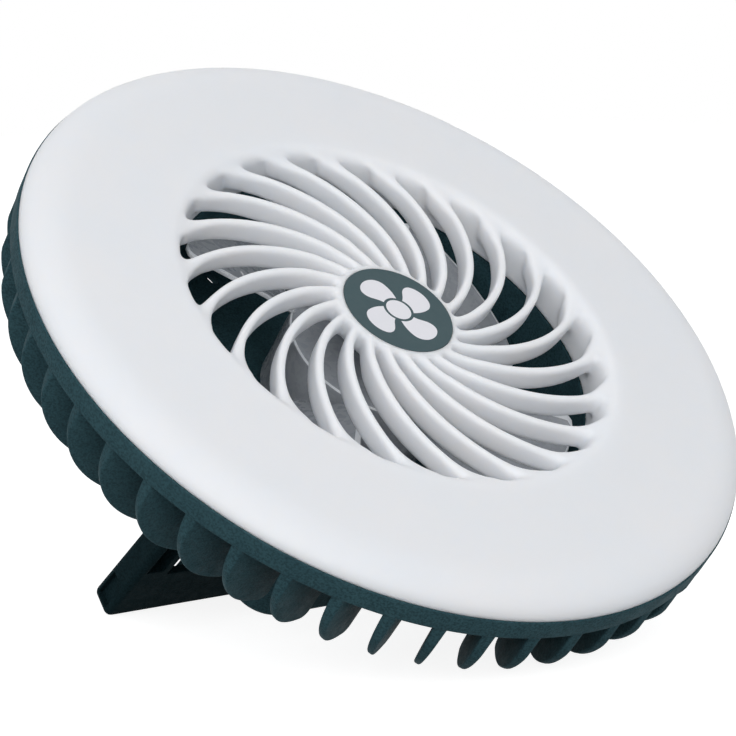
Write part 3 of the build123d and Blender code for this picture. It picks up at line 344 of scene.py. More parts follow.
class Nodes:
    """Short calls for building the nodes of one material or of the world."""

    def __init__(self, owner: bpy.types.Material | bpy.types.World, output: str = "OutputMaterial") -> None:
        """Start with the output alone.

        Args:
            owner: The material or world, just made.
            output: Type of its output node.
        """
        owner.use_nodes = True
        owner.node_tree.nodes.clear()
        self.owner = owner
        self.output = self.node(output, {})

    @cached_property
    def place(self) -> Socket:
        """Object coordinates."""
        return self.node("TexCoord", {}).outputs["Object"]

    def node(self, kind: str, inputs: Inputs, **settings: object) -> bpy.types.Node:
        """Add a node.

        Args:
            kind: Its type, without the ShaderNode prefix.
            inputs: Its inputs, as for fill.
            **settings: Properties to set on it first.

        Returns:
            The node.
        """
        made = self.owner.node_tree.nodes.new("ShaderNode" + kind)
        assign(made, settings)
        self.fill(made, inputs)
        return made

    def first(self, kind: str, inputs: Inputs, **settings: object) -> Socket:
        """Add a node and give its first output."""
        return self.node(kind, inputs, **settings).outputs[0]

    def fill(self, node: bpy.types.Node, inputs: Inputs) -> None:
        """Set a node's inputs.

        Args:
            node: The node.
            inputs: A value by name or number; another node's output is linked.
        """
        for key, value in inputs.items():
            target = node.inputs[key]
            if isinstance(value, Socket):
                self.owner.node_tree.links.new(value, target)
            else:
                target.default_value = (*value, 1.0) if target.type == "RGBA" else value

    def end(self, shader: Socket) -> bpy.types.Material | bpy.types.World:
        """Wire a shader to the output and give the material or world."""
        self.fill(self.output, {"Surface": shader})
        return self.owner

    def noise(self, size_mm: float, detail: float = 3.0, place: Socket | None = None) -> Socket:
        """Smooth noise with features of a given size.

        Args:
            size_mm: Size of a feature.
            detail: Octaves of finer noise.
            place: Coordinates to use in place of the object's.

        Returns:
            The noise value.
        """
        scale = 1.0 / (size_mm * MM)
        return self.first("TexNoise", {"Vector": place or self.place, "Scale": scale, "Detail": detail})

    def cells(self, size_mm: float, **settings: object) -> Socket:
        """Distance from the middle of cells of a given size."""
        return self.first("TexVoronoi", {"Vector": self.place, "Scale": 1.0 / (size_mm * MM)}, **settings)

    def between(self, value: Socket, low: float, high: float, start: float = 0.3, end: float = 0.7) -> Socket:
        """Map a noise value to a range.

        Args:
            value: The noise.
            low: Result at the start.
            high: Result at the end.
            start: Noise value that gives low.
            end: Noise value that gives high.

        Returns:
            The mapped value.
        """
        return self.first("MapRange", {"Value": value, "From Min": start, "From Max": end,
                                       "To Min": low, "To Max": high})

    def blend(self, share: Socket, first: Colour | Socket, second: Colour) -> Socket:
        """Mix two colours by the share of the second."""
        return self.node("Mix", {0: share, 6: first, 7: second}, data_type="RGBA").outputs[2]

    def relief(self, height: Socket, depth_mm: float, edge_mm: float = 0.0) -> Socket:
        """Bump from a height value, over rounded edges.

        Args:
            height: The height, 0 to 1.
            depth_mm: Depth of the relief.
            edge_mm: Radius that edges are rounded to, 0 for none.

        Returns:
            The normal.
        """
        inputs = {"Strength": 1.0, "Distance": depth_mm * MM, "Height": height}
        if edge_mm:
            inputs["Normal"] = self.first("Bevel", {"Radius": edge_mm * MM}, samples=EDGE_SAMPLES)
        return self.first("Bump", inputs)

    def seen(self) -> Socket:
        """One for camera, glossy and transmission rays, else zero.

        Returns:
            The value.
        """
        path = self.node("LightPath", {})
        most = path.outputs["Is Camera Ray"]
        for ray in ("Is Glossy Ray", "Is Transmission Ray"):
            most = self.first("Math", {0: most, 1: path.outputs[ray]}, operation="MAXIMUM")
        return most


@dataclass(frozen=True)
class Moulding:
    """Moulded plastic or rubber with a fine mould texture.

    Attributes:
        name: Material name.
        colour: Main colour.
        tone: Colour of the slight variation over it.
        roughness: Lowest and highest roughness.
        patch_mm: Size of the patches of the second colour.
        grain: How the relief runs.
        grain_mm: Size of the relief's features.
        depth_mm: Depth of the relief.
        edge_mm: Radius that edges are rounded to, 0 for none.
        level: Specular level.
        scatter: Share of light scattered inside.
        scatter_mm: How far it scatters.
        scatter_tint: Share of that for red, green and blue.
        alpha: Opacity.
        coat: Weight of a clear coat.
        speck: How much darker the pits are than the skin between them.
        pit_spread: Size of the pits against the grain's.
        pit_edges: Noise values at the bottom and at the edge of a pit.
        rough_patch_mm: Size of the patches of roughness.
        detail: Octaves of finer noise in grain and pits.
    """

    name: str
    colour: Colour
    tone: Colour
    roughness: Pair = (0.45, 0.6)
    patch_mm: float = 9.0
    grain: Grain = Grain.EVEN
    grain_mm: float = 0.35
    depth_mm: float = 0.03
    edge_mm: float = 0.3
    level: float = 0.5
    scatter: float = 0.0
    scatter_mm: float = 1.5
    scatter_tint: Colour = (1.0, 0.95, 0.9)
    alpha: float = 1.0
    coat: float = 0.0
    speck: float = 0.0
    pit_spread: float = 1.3
    pit_edges: Pair = (0.35, 0.6)
    rough_patch_mm: float = 2.5
    detail: float = 2.0

    def build(self) -> bpy.types.Material:
        """Make the material.

        Returns:
            The material.
        """
        nodes = Nodes(bpy.data.materials.new(self.name))
        shade = nodes.blend(nodes.between(nodes.noise(self.patch_mm), 0.0, 1.0), self.colour, self.tone)
        if self.speck:
            pits = nodes.noise(self.grain_mm * self.pit_spread, self.detail)
            shade = nodes.blend(nodes.between(pits, self.speck, 0.0, *self.pit_edges), shade, BLACK)
        if self.grain is Grain.SPECKLE:
            height = nodes.cells(self.grain_mm)
        else:
            height = nodes.noise(self.grain_mm, self.detail)
        inputs = {
            "Base Color": shade,
            "Roughness": nodes.between(nodes.noise(self.rough_patch_mm), *self.roughness),
            "Normal": nodes.relief(height, self.depth_mm, self.edge_mm),
            "Specular IOR Level": self.level,
            "Alpha": self.alpha,
            "Coat Weight": self.coat,
        }
        if self.scatter:
            inputs["Subsurface Weight"] = self.scatter
            inputs["Subsurface Radius"] = self.scatter_tint
            inputs["Subsurface Scale"] = self.scatter_mm * MM
        return nodes.end(nodes.first("BsdfPrincipled", inputs))


@dataclass(frozen=True)
class Metal:
    """Bare or plated metal.

    Attributes:
        name: Material name.
        colour: Main colour.
        tone: Colour of the slight variation over it.
        roughness: Lowest and highest roughness.
        grain: How its marks run.
        grain_mm: Size of the marks across their run.
        depth_mm: Depth of the marks.
        metallic: 1 for bare metal, less for paint or oxide.
        squeeze: Scale along the run of drawn marks.
        edge_mm: Radius that edges are rounded to.
        detail: Octaves of finer noise in the marks.
    """

    name: str
    colour: Colour
    tone: Colour
    roughness: Pair = (0.25, 0.42)
    grain: Grain = Grain.DRAWN
    grain_mm: float = 0.25
    depth_mm: float = 0.01
    metallic: float = 1.0
    squeeze: float = 0.06
    edge_mm: float = 0.15
    detail: float = 4.0

    def build(self) -> bpy.types.Material:
        """Make the material.

        Returns:
            The material.
        """
        nodes = Nodes(bpy.data.materials.new(self.name))
        place = nodes.place
        if self.grain is Grain.DRAWN:
            place = nodes.first("Mapping", {"Vector": place, "Scale": (1.0, self.squeeze, self.squeeze)})
        marks = nodes.noise(self.grain_mm, self.detail, place)
        return nodes.end(nodes.first("BsdfPrincipled", {
            "Base Color": nodes.blend(nodes.between(marks, 0.0, 1.0), self.colour, self.tone),
            "Roughness": nodes.between(marks, *self.roughness),
            "Normal": nodes.relief(marks, self.depth_mm, self.edge_mm),
            "Metallic": self.metallic,
        }))


@dataclass(frozen=True)
class PrintedBoard:
    """Solder mask over copper tracks.

    Attributes:
        name: Material name.
        mask: Colour of the mask.
        track: Colour of the mask over copper.
        pitch_mm: Distance between tracks.
        track_edge: Share of the pitch where copper ends and where the gap starts.
        depth_mm: Height of the copper.
        roughness: Lowest and highest roughness.
        rough_patch_mm: Size of the patches of roughness.
    """

    name: str
    mask: Colour
    track: Colour
    pitch_mm: float = 2.4
    track_edge: Pair = (0.42, 0.5)
    depth_mm: float = 0.03
    roughness: Pair = (0.22, 0.38)
    rough_patch_mm: float = 1.2

    def build(self) -> bpy.types.Material:
        """Make the material.

        Returns:
            The material.
        """
        nodes = Nodes(bpy.data.materials.new(self.name))
        cells = nodes.cells(self.pitch_mm, distance="MANHATTAN")
        copper = nodes.between(cells, 1.0, 0.0, *self.track_edge)
        return nodes.end(nodes.first("BsdfPrincipled", {
            "Base Color": nodes.blend(copper, self.mask, self.track),
            "Roughness": nodes.between(nodes.noise(self.rough_patch_mm), *self.roughness),
            "Normal": nodes.relief(copper, self.depth_mm),
        }))


Finish = Moulding | Metal | PrintedBoard


@dataclass(frozen=True)
class Finishes:
    """Every finish of the fan, by the part it is for."""

    opal: Moulding = Moulding(
        "opal_cover", (0.842, 0.845, 0.862), (0.818, 0.838, 0.869), (0.38, 0.48), 24.0,
        grain_mm=0.5, depth_mm=0.004, edge_mm=0.0, level=0.35, scatter=1.0, scatter_mm=3.0)
    teal: Moulding = Moulding(
        "teal_housing", (0.036, 0.085, 0.100), (0.029, 0.071, 0.085), (0.60, 0.75),
        grain_mm=0.45, depth_mm=0.10, edge_mm=0.4, level=0.05, speck=0.4)
    # painted shade: the housing's teal made much darker for the stand, which sits in the shade under the disc
    stand: Moulding = Moulding(
        "teal_stand_painted_shade", (0.011, 0.026, 0.031), (0.009, 0.022, 0.026), (0.60, 0.75),
        grain_mm=0.45, depth_mm=0.10, edge_mm=0.4, level=0.01, speck=0.4)
    badge: Moulding = Moulding(
        "teal_badge", (0.034, 0.072, 0.082), (0.031, 0.066, 0.076), (0.42, 0.52),
        grain_mm=0.3, depth_mm=0.006, edge_mm=0.1, level=0.3)
    symbol: Moulding = Moulding(
        "badge_white", (0.80, 0.79, 0.83), (0.77, 0.77, 0.81), (0.40, 0.5),
        grain_mm=0.4, depth_mm=0.004, edge_mm=0.08)
    button: Moulding = Moulding(
        "teal_button", (0.035, 0.080, 0.092), (0.031, 0.072, 0.084), (0.38, 0.5),
        grain_mm=0.3, depth_mm=0.02, edge_mm=0.2)
    rotor: Moulding = Moulding(
        "smoky_rotor", (0.62, 0.65, 0.69), (0.50, 0.53, 0.57), (0.22, 0.34),
        grain_mm=6.0, depth_mm=0.01, edge_mm=0.0, alpha=0.50)
    # painted highlight: pale opaque plastic laid along the clear blades' edges and on rings of the hub, in
    # place of the light caught there
    rotor_highlight: Moulding = Moulding(
        "painted_highlight_rotor_rim", (0.80, 0.82, 0.84), (0.72, 0.75, 0.78), (0.2, 0.3),
        grain_mm=1.0, depth_mm=0.01, edge_mm=0.0, scatter=0.6, scatter_mm=3.0)
    lens: Moulding = Moulding(
        "clear_lens", (0.78, 0.82, 0.82), (0.72, 0.77, 0.78), (0.1, 0.2),
        grain_mm=1.0, depth_mm=0.005, edge_mm=0.1, alpha=0.55, coat=0.4)
    tray: Moulding = Moulding("white_tray", (0.80, 0.80, 0.79), (0.76, 0.76, 0.75), (0.5, 0.65))
    chip: Moulding = Moulding(
        "lamp_chip", (0.80, 0.62, 0.16), (0.74, 0.56, 0.12), (0.25, 0.35),
        grain_mm=0.2, depth_mm=0.01, coat=0.5)
    pad: Moulding = Moulding(
        "thermal_pad", (0.17, 0.18, 0.20), (0.14, 0.15, 0.17), (0.7, 0.85), depth_mm=0.05)
    rubber: Moulding = Moulding(
        "black_rubber", (0.012, 0.013, 0.014), (0.018, 0.019, 0.020), (0.62, 0.8),
        grain=Grain.SPECKLE, grain_mm=0.5, depth_mm=0.05, level=0.35)
    black_part: Moulding = Moulding("black_part", (0.014, 0.014, 0.015), (0.020, 0.020, 0.021), (0.35, 0.5))
    film: Moulding = Moulding(
        "cell_film", (0.030, 0.145, 0.260), (0.026, 0.125, 0.235), (0.18, 0.28),
        grain_mm=4.0, depth_mm=0.05, coat=0.6)
    nylon: Moulding = Moulding(
        "nylon_washer", (0.62, 0.59, 0.50), (0.57, 0.54, 0.46), (0.4, 0.5), scatter=0.3)
    zinc: Metal = Metal("zinc_steel", (0.56, 0.57, 0.58), (0.44, 0.46, 0.50))
    can: Metal = Metal("drawn_steel", (0.46, 0.47, 0.48), (0.38, 0.39, 0.41), (0.28, 0.4))
    oxide: Metal = Metal(
        "black_oxide", (0.018, 0.018, 0.020), (0.030, 0.030, 0.032), (0.35, 0.55), Grain.EVEN, metallic=0.7)
    magnet: Metal = Metal(
        "magnet_grey", (0.07, 0.07, 0.075), (0.10, 0.10, 0.10), (0.5, 0.7), Grain.EVEN, 0.6, 0.03, 0.4)
    core: Metal = Metal(
        "core_plates", (0.22, 0.20, 0.18), (0.12, 0.11, 0.10), (0.35, 0.5), Grain.EVEN, 0.5, 0.05)
    bronze: Metal = Metal(
        "bush_bronze", (0.42, 0.26, 0.10), (0.34, 0.20, 0.08), (0.4, 0.55), Grain.EVEN, 0.3, 0.02)
    nickel: Metal = Metal("nickel", (0.62, 0.59, 0.53), (0.54, 0.51, 0.46), (0.18, 0.3))
    board: PrintedBoard = PrintedBoard("green_board", (0.006, 0.075, 0.028), (0.012, 0.120, 0.045))
    lamp_board: PrintedBoard = PrintedBoard("white_board", (0.72, 0.73, 0.72), (0.66, 0.66, 0.62), 4.0)


# ---------------------------------------------------------------- front cover and guard
@dataclass
class GuardCover:
    """Opal cover: face ring, throat, swirled ribs and hub, blended into each other.

    The guard is built as overlapping solids, fused on a fine grid and softened.  The face ring is then drawn
    from the edge of the fused mesh outward.
    """

    space: FanSpace
    rim_r: float
    segments: int = 360
    smooth_deg: float = 55.0
    # face ring, its shoulder and the skirt under it
    edge_step: float = 0.4
    shoulder_run: float = 12.0
    shoulder_rise: float = 6.0
    shoulder_steps: int = 18
    face_rise: float = 0.6
    face_steps: int = 8
    wall: float = 2.2
    skirt_r: float = 102.8
    skirt_wall: float = 2.0
    skirt_depth: float = 3.4
    skirt_gap: float = 0.05
    corner_height: float = 1.6
    corner_run: float = 3.2
    corner_drop: float = 0.9
    # throat and lip
    duct_r: float = 60.9
    throat_flare: float = 1.3
    throat_wall: float = 1.8
    throat_depth: float = 5.8
    throat_corner: Pair = (0.4, 1.2)
    lip_r: float = 3.2
    lip_steps: int = 10
    lip_back: float = 1.5
    seam_r: float = 69.5
    seam_overlap: float = 3.0
    seam_fade_from: float = 0.8
    seam_fade_run: float = 1.5
    # hub and the bed for its badge
    hub_r: float = 18.1
    hub_top: float = 4.8
    hub_bottom: float = -2.0
    hub_hole: float = 1.0
    hub_round: float = 1.2
    hub_steps: int = 5
    badge_r: float = 16.0
    badge_gap: float = 0.12
    badge_bed: float = 1.0
    badge_draft: float = 0.02
    # ribs; places along them are shares of the way from the inner to the outer radius, and their stations
    # are given by the first, the last and the number
    rib_count: int = 22
    rib_steps: int = 12
    rib_stations_near: tuple[float, float, int] = (0.0, 0.8, 34)
    rib_stations_far: tuple[float, float, int] = (0.81, 1.055, 26)
    rib_thick: float = 2.38
    rib_thinning: float = 0.33
    rib_flare: float = 4.27
    rib_flare_start: float = 0.8
    rib_flare_most: float = 1.2
    rib_inner_r: float = 15.75
    rib_outer_r: float = 63.0
    rib_rise: float = 2.0
    rib_rise_over: Pair = (0.87, 1.045)
    rib_tuck: float = 5.6
    rib_tuck_over: Pair = (0.985, 1.02)
    rib_crowns: Pair = (1.3, 0.8)
    rib_parting: float = 1e-6
    rib_sweep: tuple[float, ...] = (-0.0693, 1.1423, -0.5303, 0.2567)
    rib_top: Triple = (4.77, -0.24, -2.76)
    rib_bottom: Triple = (-1.59, 0.35, 0.77)
    # fusing, softening and the fillets at the ribs' ends
    voxel: float = 0.5
    soften_gain: float = 0.26
    soften_factor: float = 0.5
    soften_steps: int = 7
    blend_from: float = 56.5
    blend_run: float = 5.0
    blend_low: float = -2.5
    blend_low_run: float = 1.5
    blend_factor: float = 0.5
    blend_steps: int = 26
    hub_blend: Pair = (17.2, 27.0)
    hub_blend_share: float = 0.6
    weld_m: float = 1e-7

    @property
    def face_top(self) -> float:
        """Height of the face at the lip."""
        return self.shoulder_rise + self.face_rise

    @property
    def face_middle(self) -> float:
        """Height of the middle of the face's wall at the lip."""
        return self.face_top - self.wall / 2

    @property
    def shoulder_r(self) -> float:
        """Radius where the shoulder starts."""
        return self.rim_r - self.edge_step - self.shoulder_run

    @property
    def lip_crest_r(self) -> float:
        """Radius of the highest point of the lip."""
        return self.duct_r + self.throat_flare + self.lip_r

    def face_height(self, radius: float | np.ndarray) -> float | np.ndarray:
        """Height of the flat part of the face at a radius."""
        share = ramp(self.shoulder_r - radius, 0.0, self.shoulder_r - self.lip_crest_r)
        return self.shoulder_rise + self.face_rise * share

    @staticmethod
    def bowed(shape: Triple, shares: np.ndarray) -> np.ndarray:
        """Height along a rib from its first height, its slope and its bow."""
        return shape[0] + shape[1] * shares + shape[2] * shares * (shares - 1)

    def rib_section(self) -> np.ndarray:
        """Unit section of a rib: half circles above and below straight sides.

        Returns:
            Array of points, across and up.
        """
        upper = arc((0.0, 0.0), (1.0, 1.0), 0.0, 180.0, self.rib_steps)
        lower = arc((0.0, 0.0), (1.0, 1.0), 180.0, 360.0, self.rib_steps)
        off = self.rib_parting
        return np.array([(x, max(y, off)) for x, y in upper] + [(x, min(y, -off)) for x, y in lower])

    def rib(self) -> Solid:
        """One rib: a rounded section drawn along the swept centre line.

        Returns:
            Points and faces.
        """
        stations = [np.linspace(*part) for part in (self.rib_stations_near, self.rib_stations_far)]
        shares = np.concatenate(stations)[:, None]
        span = self.rib_outer_r - self.rib_inner_r
        radius = self.rib_inner_r + span * shares
        sweep = np.polynomial.Polynomial(self.rib_sweep)
        angle, turn = sweep(shares), radius * sweep.deriv()(shares) / span
        flare = ramp(shares, self.rib_flare_start, 1 - self.rib_flare_start, self.rib_flare_most) ** 2
        half = (self.rib_thick - self.rib_thinning * shares + self.rib_flare * flare + self.soften_gain) / 2
        rise, tuck = (ramp(shares, start, end - start)
                      for start, end in (self.rib_rise_over, self.rib_tuck_over))
        top = self.bowed(self.rib_top, shares) + self.soften_gain / 2 + self.rib_rise * rise ** 2
        bottom = self.bowed(self.rib_bottom, shares) - self.soften_gain / 2 + self.rib_tuck * tuck
        across, up = self.rib_section().T
        top_crown, bottom_crown = (np.minimum(half, crown) for crown in self.rib_crowns)
        height = np.where(up > 0, top - top_crown * (1 - up), bottom + bottom_crown * (1 + up))
        aside = across * half / np.hypot(1.0, turn)
        out = radius - turn * aside
        points = np.stack([out * np.cos(angle) - aside * np.sin(angle),
                           out * np.sin(angle) + aside * np.cos(angle), height], axis=-1).reshape(-1, 3)
        columns, last = len(across), len(points) - 1
        faces = grid_faces(len(shares), columns, wrap_columns=True)
        return points, faces + [tuple(range(columns)), tuple(range(last, last - columns, -1))]

    def throat_section(self) -> list[Pair]:
        """Closed section of the throat, the lip and the first part of the face.

        Returns:
            Radius and height of its points.
        """
        under = self.face_top - self.wall
        back = self.duct_r + self.throat_wall
        end = self.seam_r + self.seam_overlap
        r = self.lip_r
        lip = arc((self.lip_crest_r, self.face_top - r), (r, r), 90.0, 180.0, self.lip_steps)
        return [(end, float(self.face_height(end))), *lip, (self.duct_r, -self.throat_depth),
                (back, -self.throat_depth),
                (back + self.throat_flare + self.throat_corner[0], under - self.throat_corner[1]),
                (self.lip_crest_r + self.lip_back, under), (end, under)]

    def hub_section(self) -> list[Pair]:
        """Closed section of the hub, from just off the axis to its rounded edge.

        Returns:
            Radius and height of its points.
        """
        r = self.hub_round
        edge = arc((self.hub_r - r, self.hub_top - r), (r, r), 0.0, 90.0, self.hub_steps)
        return [(self.hub_hole, self.hub_bottom), (self.hub_r, self.hub_bottom), *edge,
                (self.hub_hole, self.hub_top)]

    def fused_guard(self) -> Solid:
        """Fuse ribs, hub and throat on a grid and soften what comes out.

        Returns:
            Points in fan space and faces.
        """
        shape = Shape()
        shape.add_round(self.rib(), self.rib_count)
        shape.add(*revolved(self.throat_section(), self.segments))
        shape.add(*revolved(self.hub_section(), self.segments))
        return modified("guard_raw", shape.solid(), {
            "REMESH": {"mode": "VOXEL", "voxel_size": self.voxel},
            "SMOOTH": {"factor": self.soften_factor, "iterations": self.soften_steps},
        })

    def blend_ends(self, points: np.ndarray, faces: list[Face]) -> None:
        """Fillet the ribs into the throat and the hub by smoothing those regions further.

        Args:
            points: Points of the fused guard, changed in place.
            faces: Its faces.
        """
        pairs = np.array([(face[k - 1], face[k]) for face in faces for k in range(len(face))])
        first, second = np.concatenate([pairs, pairs[:, ::-1]]).T
        number = np.bincount(first, minlength=len(points))[:, None]
        hub_from, hub_to = self.hub_blend
        for _ in range(self.blend_steps):
            radius = radii(points)
            near_hub = ramp(hub_to - radius, 0.0, self.blend_run, self.hub_blend_share)
            weight = ramp(radius, self.blend_from, self.blend_run)
            weight += np.where(radius > hub_from, near_hub, 0.0)
            weight *= ramp(points[:, 2], self.blend_low, self.blend_low_run)
            sums = [np.bincount(first, points[second, axis], len(points)) for axis in range(3)]
            points += self.blend_factor * weight[:, None] * (np.stack(sums, axis=-1) / number - points)

    def cut_at_seam(self, points: np.ndarray, faces: list[Face]) -> tuple[np.ndarray, list[Face], np.ndarray]:
        """Drop what lies outside the seam and bring the cut edge onto it.

        Args:
            points: Points of the fused guard.
            faces: Its faces.

        Returns:
            Points, faces, and the upper edge's points sorted by angle.
        """
        radius = radii(points)
        share = ramp(radius, self.lip_crest_r + self.seam_fade_from, self.seam_fade_run)
        levelled = points[:, 2] * (1 - share) + self.face_height(radius) * share
        points[:, 2] = np.where(points[:, 2] > self.face_middle, levelled, points[:, 2])
        inside = radius <= self.seam_r
        kept = [face for face in faces if all(inside[k] for k in face)]
        used = sorted({k for face in kept for k in face})
        cut = {k for face in faces if not all(inside[k] for k in face) for k in face}
        edge = np.array(sorted(cut & set(used)))
        points[edge, :2] *= (self.seam_r / radius[edge])[:, None]
        number = {old: new for new, old in enumerate(used)}
        kept = [tuple(number[k] for k in face) for face in kept]
        top = points[edge][points[edge, 2] > self.face_middle]
        return points[used], kept, top[np.argsort(np.arctan2(top[:, 1], top[:, 0]))]

    def bed_badge(self, points: np.ndarray, faces: list[Face]) -> None:
        """Press the hub's face flat and sink a clean round bed for the badge.

        Args:
            points: Points of the guard, changed in place.
            faces: Its faces.
        """
        radius = radii(points)
        upper = points[:, 2] > (self.hub_top + self.hub_bottom) / 2
        points[upper & (radius < self.hub_r - self.hub_round), 2] = self.hub_top
        edge = self.badge_r + self.badge_gap
        bed = upper & (radius < edge)
        points[bed, 2] = self.hub_top - self.badge_bed
        for face in faces:
            if any(bed[k] for k in face) and not all(bed[k] for k in face):
                for k in face:
                    if upper[k]:
                        draft = -self.badge_draft if bed[k] else self.badge_draft
                        points[k, :2] *= (edge + draft) / radius[k]
                        radius[k] = edge

    def ring_section(self) -> list[Pair]:
        """Section of the face ring from the seam out over the shoulder, down the skirt and back underneath.

        Returns:
            Radius and height of its points.
        """
        under = self.shoulder_rise - self.wall
        inner = self.skirt_r - self.skirt_wall
        flat = np.linspace(self.seam_r, self.shoulder_r, self.face_steps)[1:]
        shoulder = arc((self.shoulder_r, 0.0), (self.shoulder_run, self.shoulder_rise), 90.0, 0.0,
                       self.shoulder_steps)[1:]
        return [(r, self.face_height(r)) for r in flat] + shoulder + [
            (self.skirt_r, -self.skirt_gap), (self.skirt_r, -self.skirt_depth), (inner, -self.skirt_depth),
            (inner, self.corner_height), (inner - self.corner_run, under - self.corner_drop),
            (self.shoulder_r, under), (self.seam_r, self.face_top - self.wall)]

    def build(self, finish: Moulding) -> bpy.types.Object:
        """Make the cover and let it stand for the CAD node.

        Args:
            finish: The opal finish.

        Returns:
            The piece.
        """
        points, faces = self.fused_guard()
        self.blend_ends(points, faces)
        points, faces, edge = self.cut_at_seam(points, faces)
        self.bed_badge(points, faces)
        angles = np.arctan2(edge[:, 1], edge[:, 0])
        rows = [edge] + [polar(r, angles, z) for r, z in self.ring_section()]
        shape = Shape()
        shape.add(points, faces)
        shape.add(np.concatenate(rows), grid_faces(len(rows), len(angles), wrap_columns=True))
        piece = shape.build("opal_cover", self.space, [finish], self.smooth_deg)
        with opened(piece.data) as work:
            bmesh.ops.remove_doubles(work, verts=work.verts, dist=self.weld_m)
        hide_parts("front_cover")
        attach(piece, "housing")
        return piece


# ---------------------------------------------------------------- rim and fins
@dataclass
class FinRim:
    """Band, deck and swirled cooling fins with softly rounded edges."""

    space: FanSpace
    rim_r: float
    segments: int = 360
    smooth_deg: float = 38.0
    band_h: float = 6.0
    band_wall: float = 2.4
    band_round: float = 0.45
    band_steps: int = 4
    deck_thick: float = 2.0
    deck_hole_r: float = 63.2
    fin_count: int = 49
    fin_phase_deg: float = 238.2
    fin_swirl_deg: float = 29.0
    fin_reach: float = 22.1
    fin_drop: float = 23.7
    fin_shoulder: float = 1.6
    fin_root: float = 3.2
    fin_tip: float = 1.3
    fin_steps: int = 20
    fin_sunk: float = 0.02
    tip_round: float = 2.5
    tip_share: float = 0.9
    tip_start_deg: float = -80.0
    tip_steps: int = 5
    edge_round: float = 0.5
    edge_steps: int = 3
    edge_limit_deg: float = 50.0
    boss_count: int = 6
    boss_phase_deg: float = 30.0
    boss_ring: float = 68.2
    boss_r: float = 3.5
    boss_h: float = 6.0
    boss_hole: float = 1.55
    boss_sunk: float = 0.5
    boss_chamfer: float = 0.3
    boss_segments: int = 32

    def outline(self) -> list[Pair]:
        """Side view of a fin, from the band round the tip to the deck.

        Returns:
            Reach from the rim inward, and height, of its points.
        """
        start = -self.band_h - self.fin_shoulder
        over = -self.band_h + self.deck_thick / 2
        r = self.tip_round
        curve = arc((self.fin_reach, start), (self.fin_reach, self.fin_drop), 180.0, 270.0, self.fin_steps)
        curve = [point for point in curve if point[0] < self.fin_reach - r * self.tip_share]
        middle = (self.fin_reach - r, start - self.fin_drop + r)
        tip = arc(middle, (r, r), self.tip_start_deg, 0.0, self.tip_steps)
        return [(0.0, over), (0.0, -self.band_h), *curve, *tip, (self.fin_reach, over)]

    def half_at(self, height: float) -> float:
        """Half the thickness of a fin at a height."""
        share = min(max((height + self.band_h) / -(self.fin_shoulder + self.fin_drop), 0.0), 1.0)
        return (self.fin_root + (self.fin_tip - self.fin_root) * share) / 2

    def reach_of_rim(self, aside: float) -> float:
        """Where a line beside a fin's middle plane leaves the rim's cylinder.

        Args:
            aside: Distance from the middle plane.

        Returns:
            Reach at which the line is on the cylinder.
        """
        swirl = math.radians(self.fin_swirl_deg)
        radius = self.rim_r - self.fin_sunk
        b = self.rim_r * math.cos(swirl)
        c = self.rim_r ** 2 + aside ** 2 - 2 * self.rim_r * aside * math.sin(swirl) - radius ** 2
        return b - math.sqrt(b * b - c)

    def fin(self) -> Solid:
        """One fin with rounded edges.

        Returns:
            Points and faces in the fan's space, for a fin that meets the rim on the x axis.
        """
        outline = self.outline()
        count = len(outline)
        points = []
        for side in (-1, 1):
            for reach, height in outline:
                aside = side * self.half_at(height)
                points.append((max(reach, self.reach_of_rim(aside)), aside, height))
        faces = [tuple(range(count)), tuple(range(2 * count - 1, count - 1, -1))]
        for k in range(count):
            after = (k + 1) % count
            faces.append((after, k, count + k, count + after))
        points, faces = modified("fin_raw", (np.array(points), faces), {"BEVEL": {
            "width": self.edge_round, "segments": self.edge_steps, "limit_method": "ANGLE",
            "angle_limit": math.radians(self.edge_limit_deg), "use_clamp_overlap": True,
        }})
        points = turned(points, math.pi - math.radians(self.fin_swirl_deg))
        points[:, 0] += self.rim_r
        return points, faces

    def band_section(self) -> list[Pair]:
        """Closed section of the band and the deck.

        Returns:
            Radius and height of its points.
        """
        r = self.band_round
        inner = self.rim_r - self.band_wall
        deck = self.deck_thick - self.band_h
        top = arc((self.rim_r - r, -r), (r, r), 90.0, 0.0, self.band_steps)
        bottom = arc((self.rim_r - r, r - self.band_h), (r, r), 0.0, -90.0, self.band_steps)
        return [*top, *bottom, (self.deck_hole_r, -self.band_h), (self.deck_hole_r, deck), (inner, deck),
                (inner, 0.0)]

    def boss_section(self) -> list[Pair]:
        """Closed section of a screw boss on the deck, about its own axis.

        Returns:
            Radius and height of its points.
        """
        low = self.deck_thick - self.band_h - self.boss_sunk
        high = low + self.boss_h + self.boss_sunk
        return [(self.boss_hole, low), (self.boss_r, low), (self.boss_r, high - self.boss_chamfer),
                (self.boss_r - self.boss_chamfer, high), (self.boss_hole, high)]

    def build(self, finish: Moulding) -> bpy.types.Object:
        """Make the rim and let it stand for the CAD node.

        Args:
            finish: The teal finish.

        Returns:
            The piece.
        """
        shape = Shape()
        shape.add(*revolved(self.band_section(), self.segments))
        shape.add_round(self.fin(), self.fin_count, math.radians(self.fin_phase_deg))
        points, faces = revolved(self.boss_section(), self.boss_segments)
        for k in range(self.boss_count):
            angle = math.radians(self.boss_phase_deg) + TURN * k / self.boss_count
            shape.add(points + polar(self.boss_ring, angle, 0.0), faces)
        piece = shape.build("fin_rim", self.space, [finish], self.smooth_deg)
        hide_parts("finned_rim")
        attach(piece, "housing")
        return piece


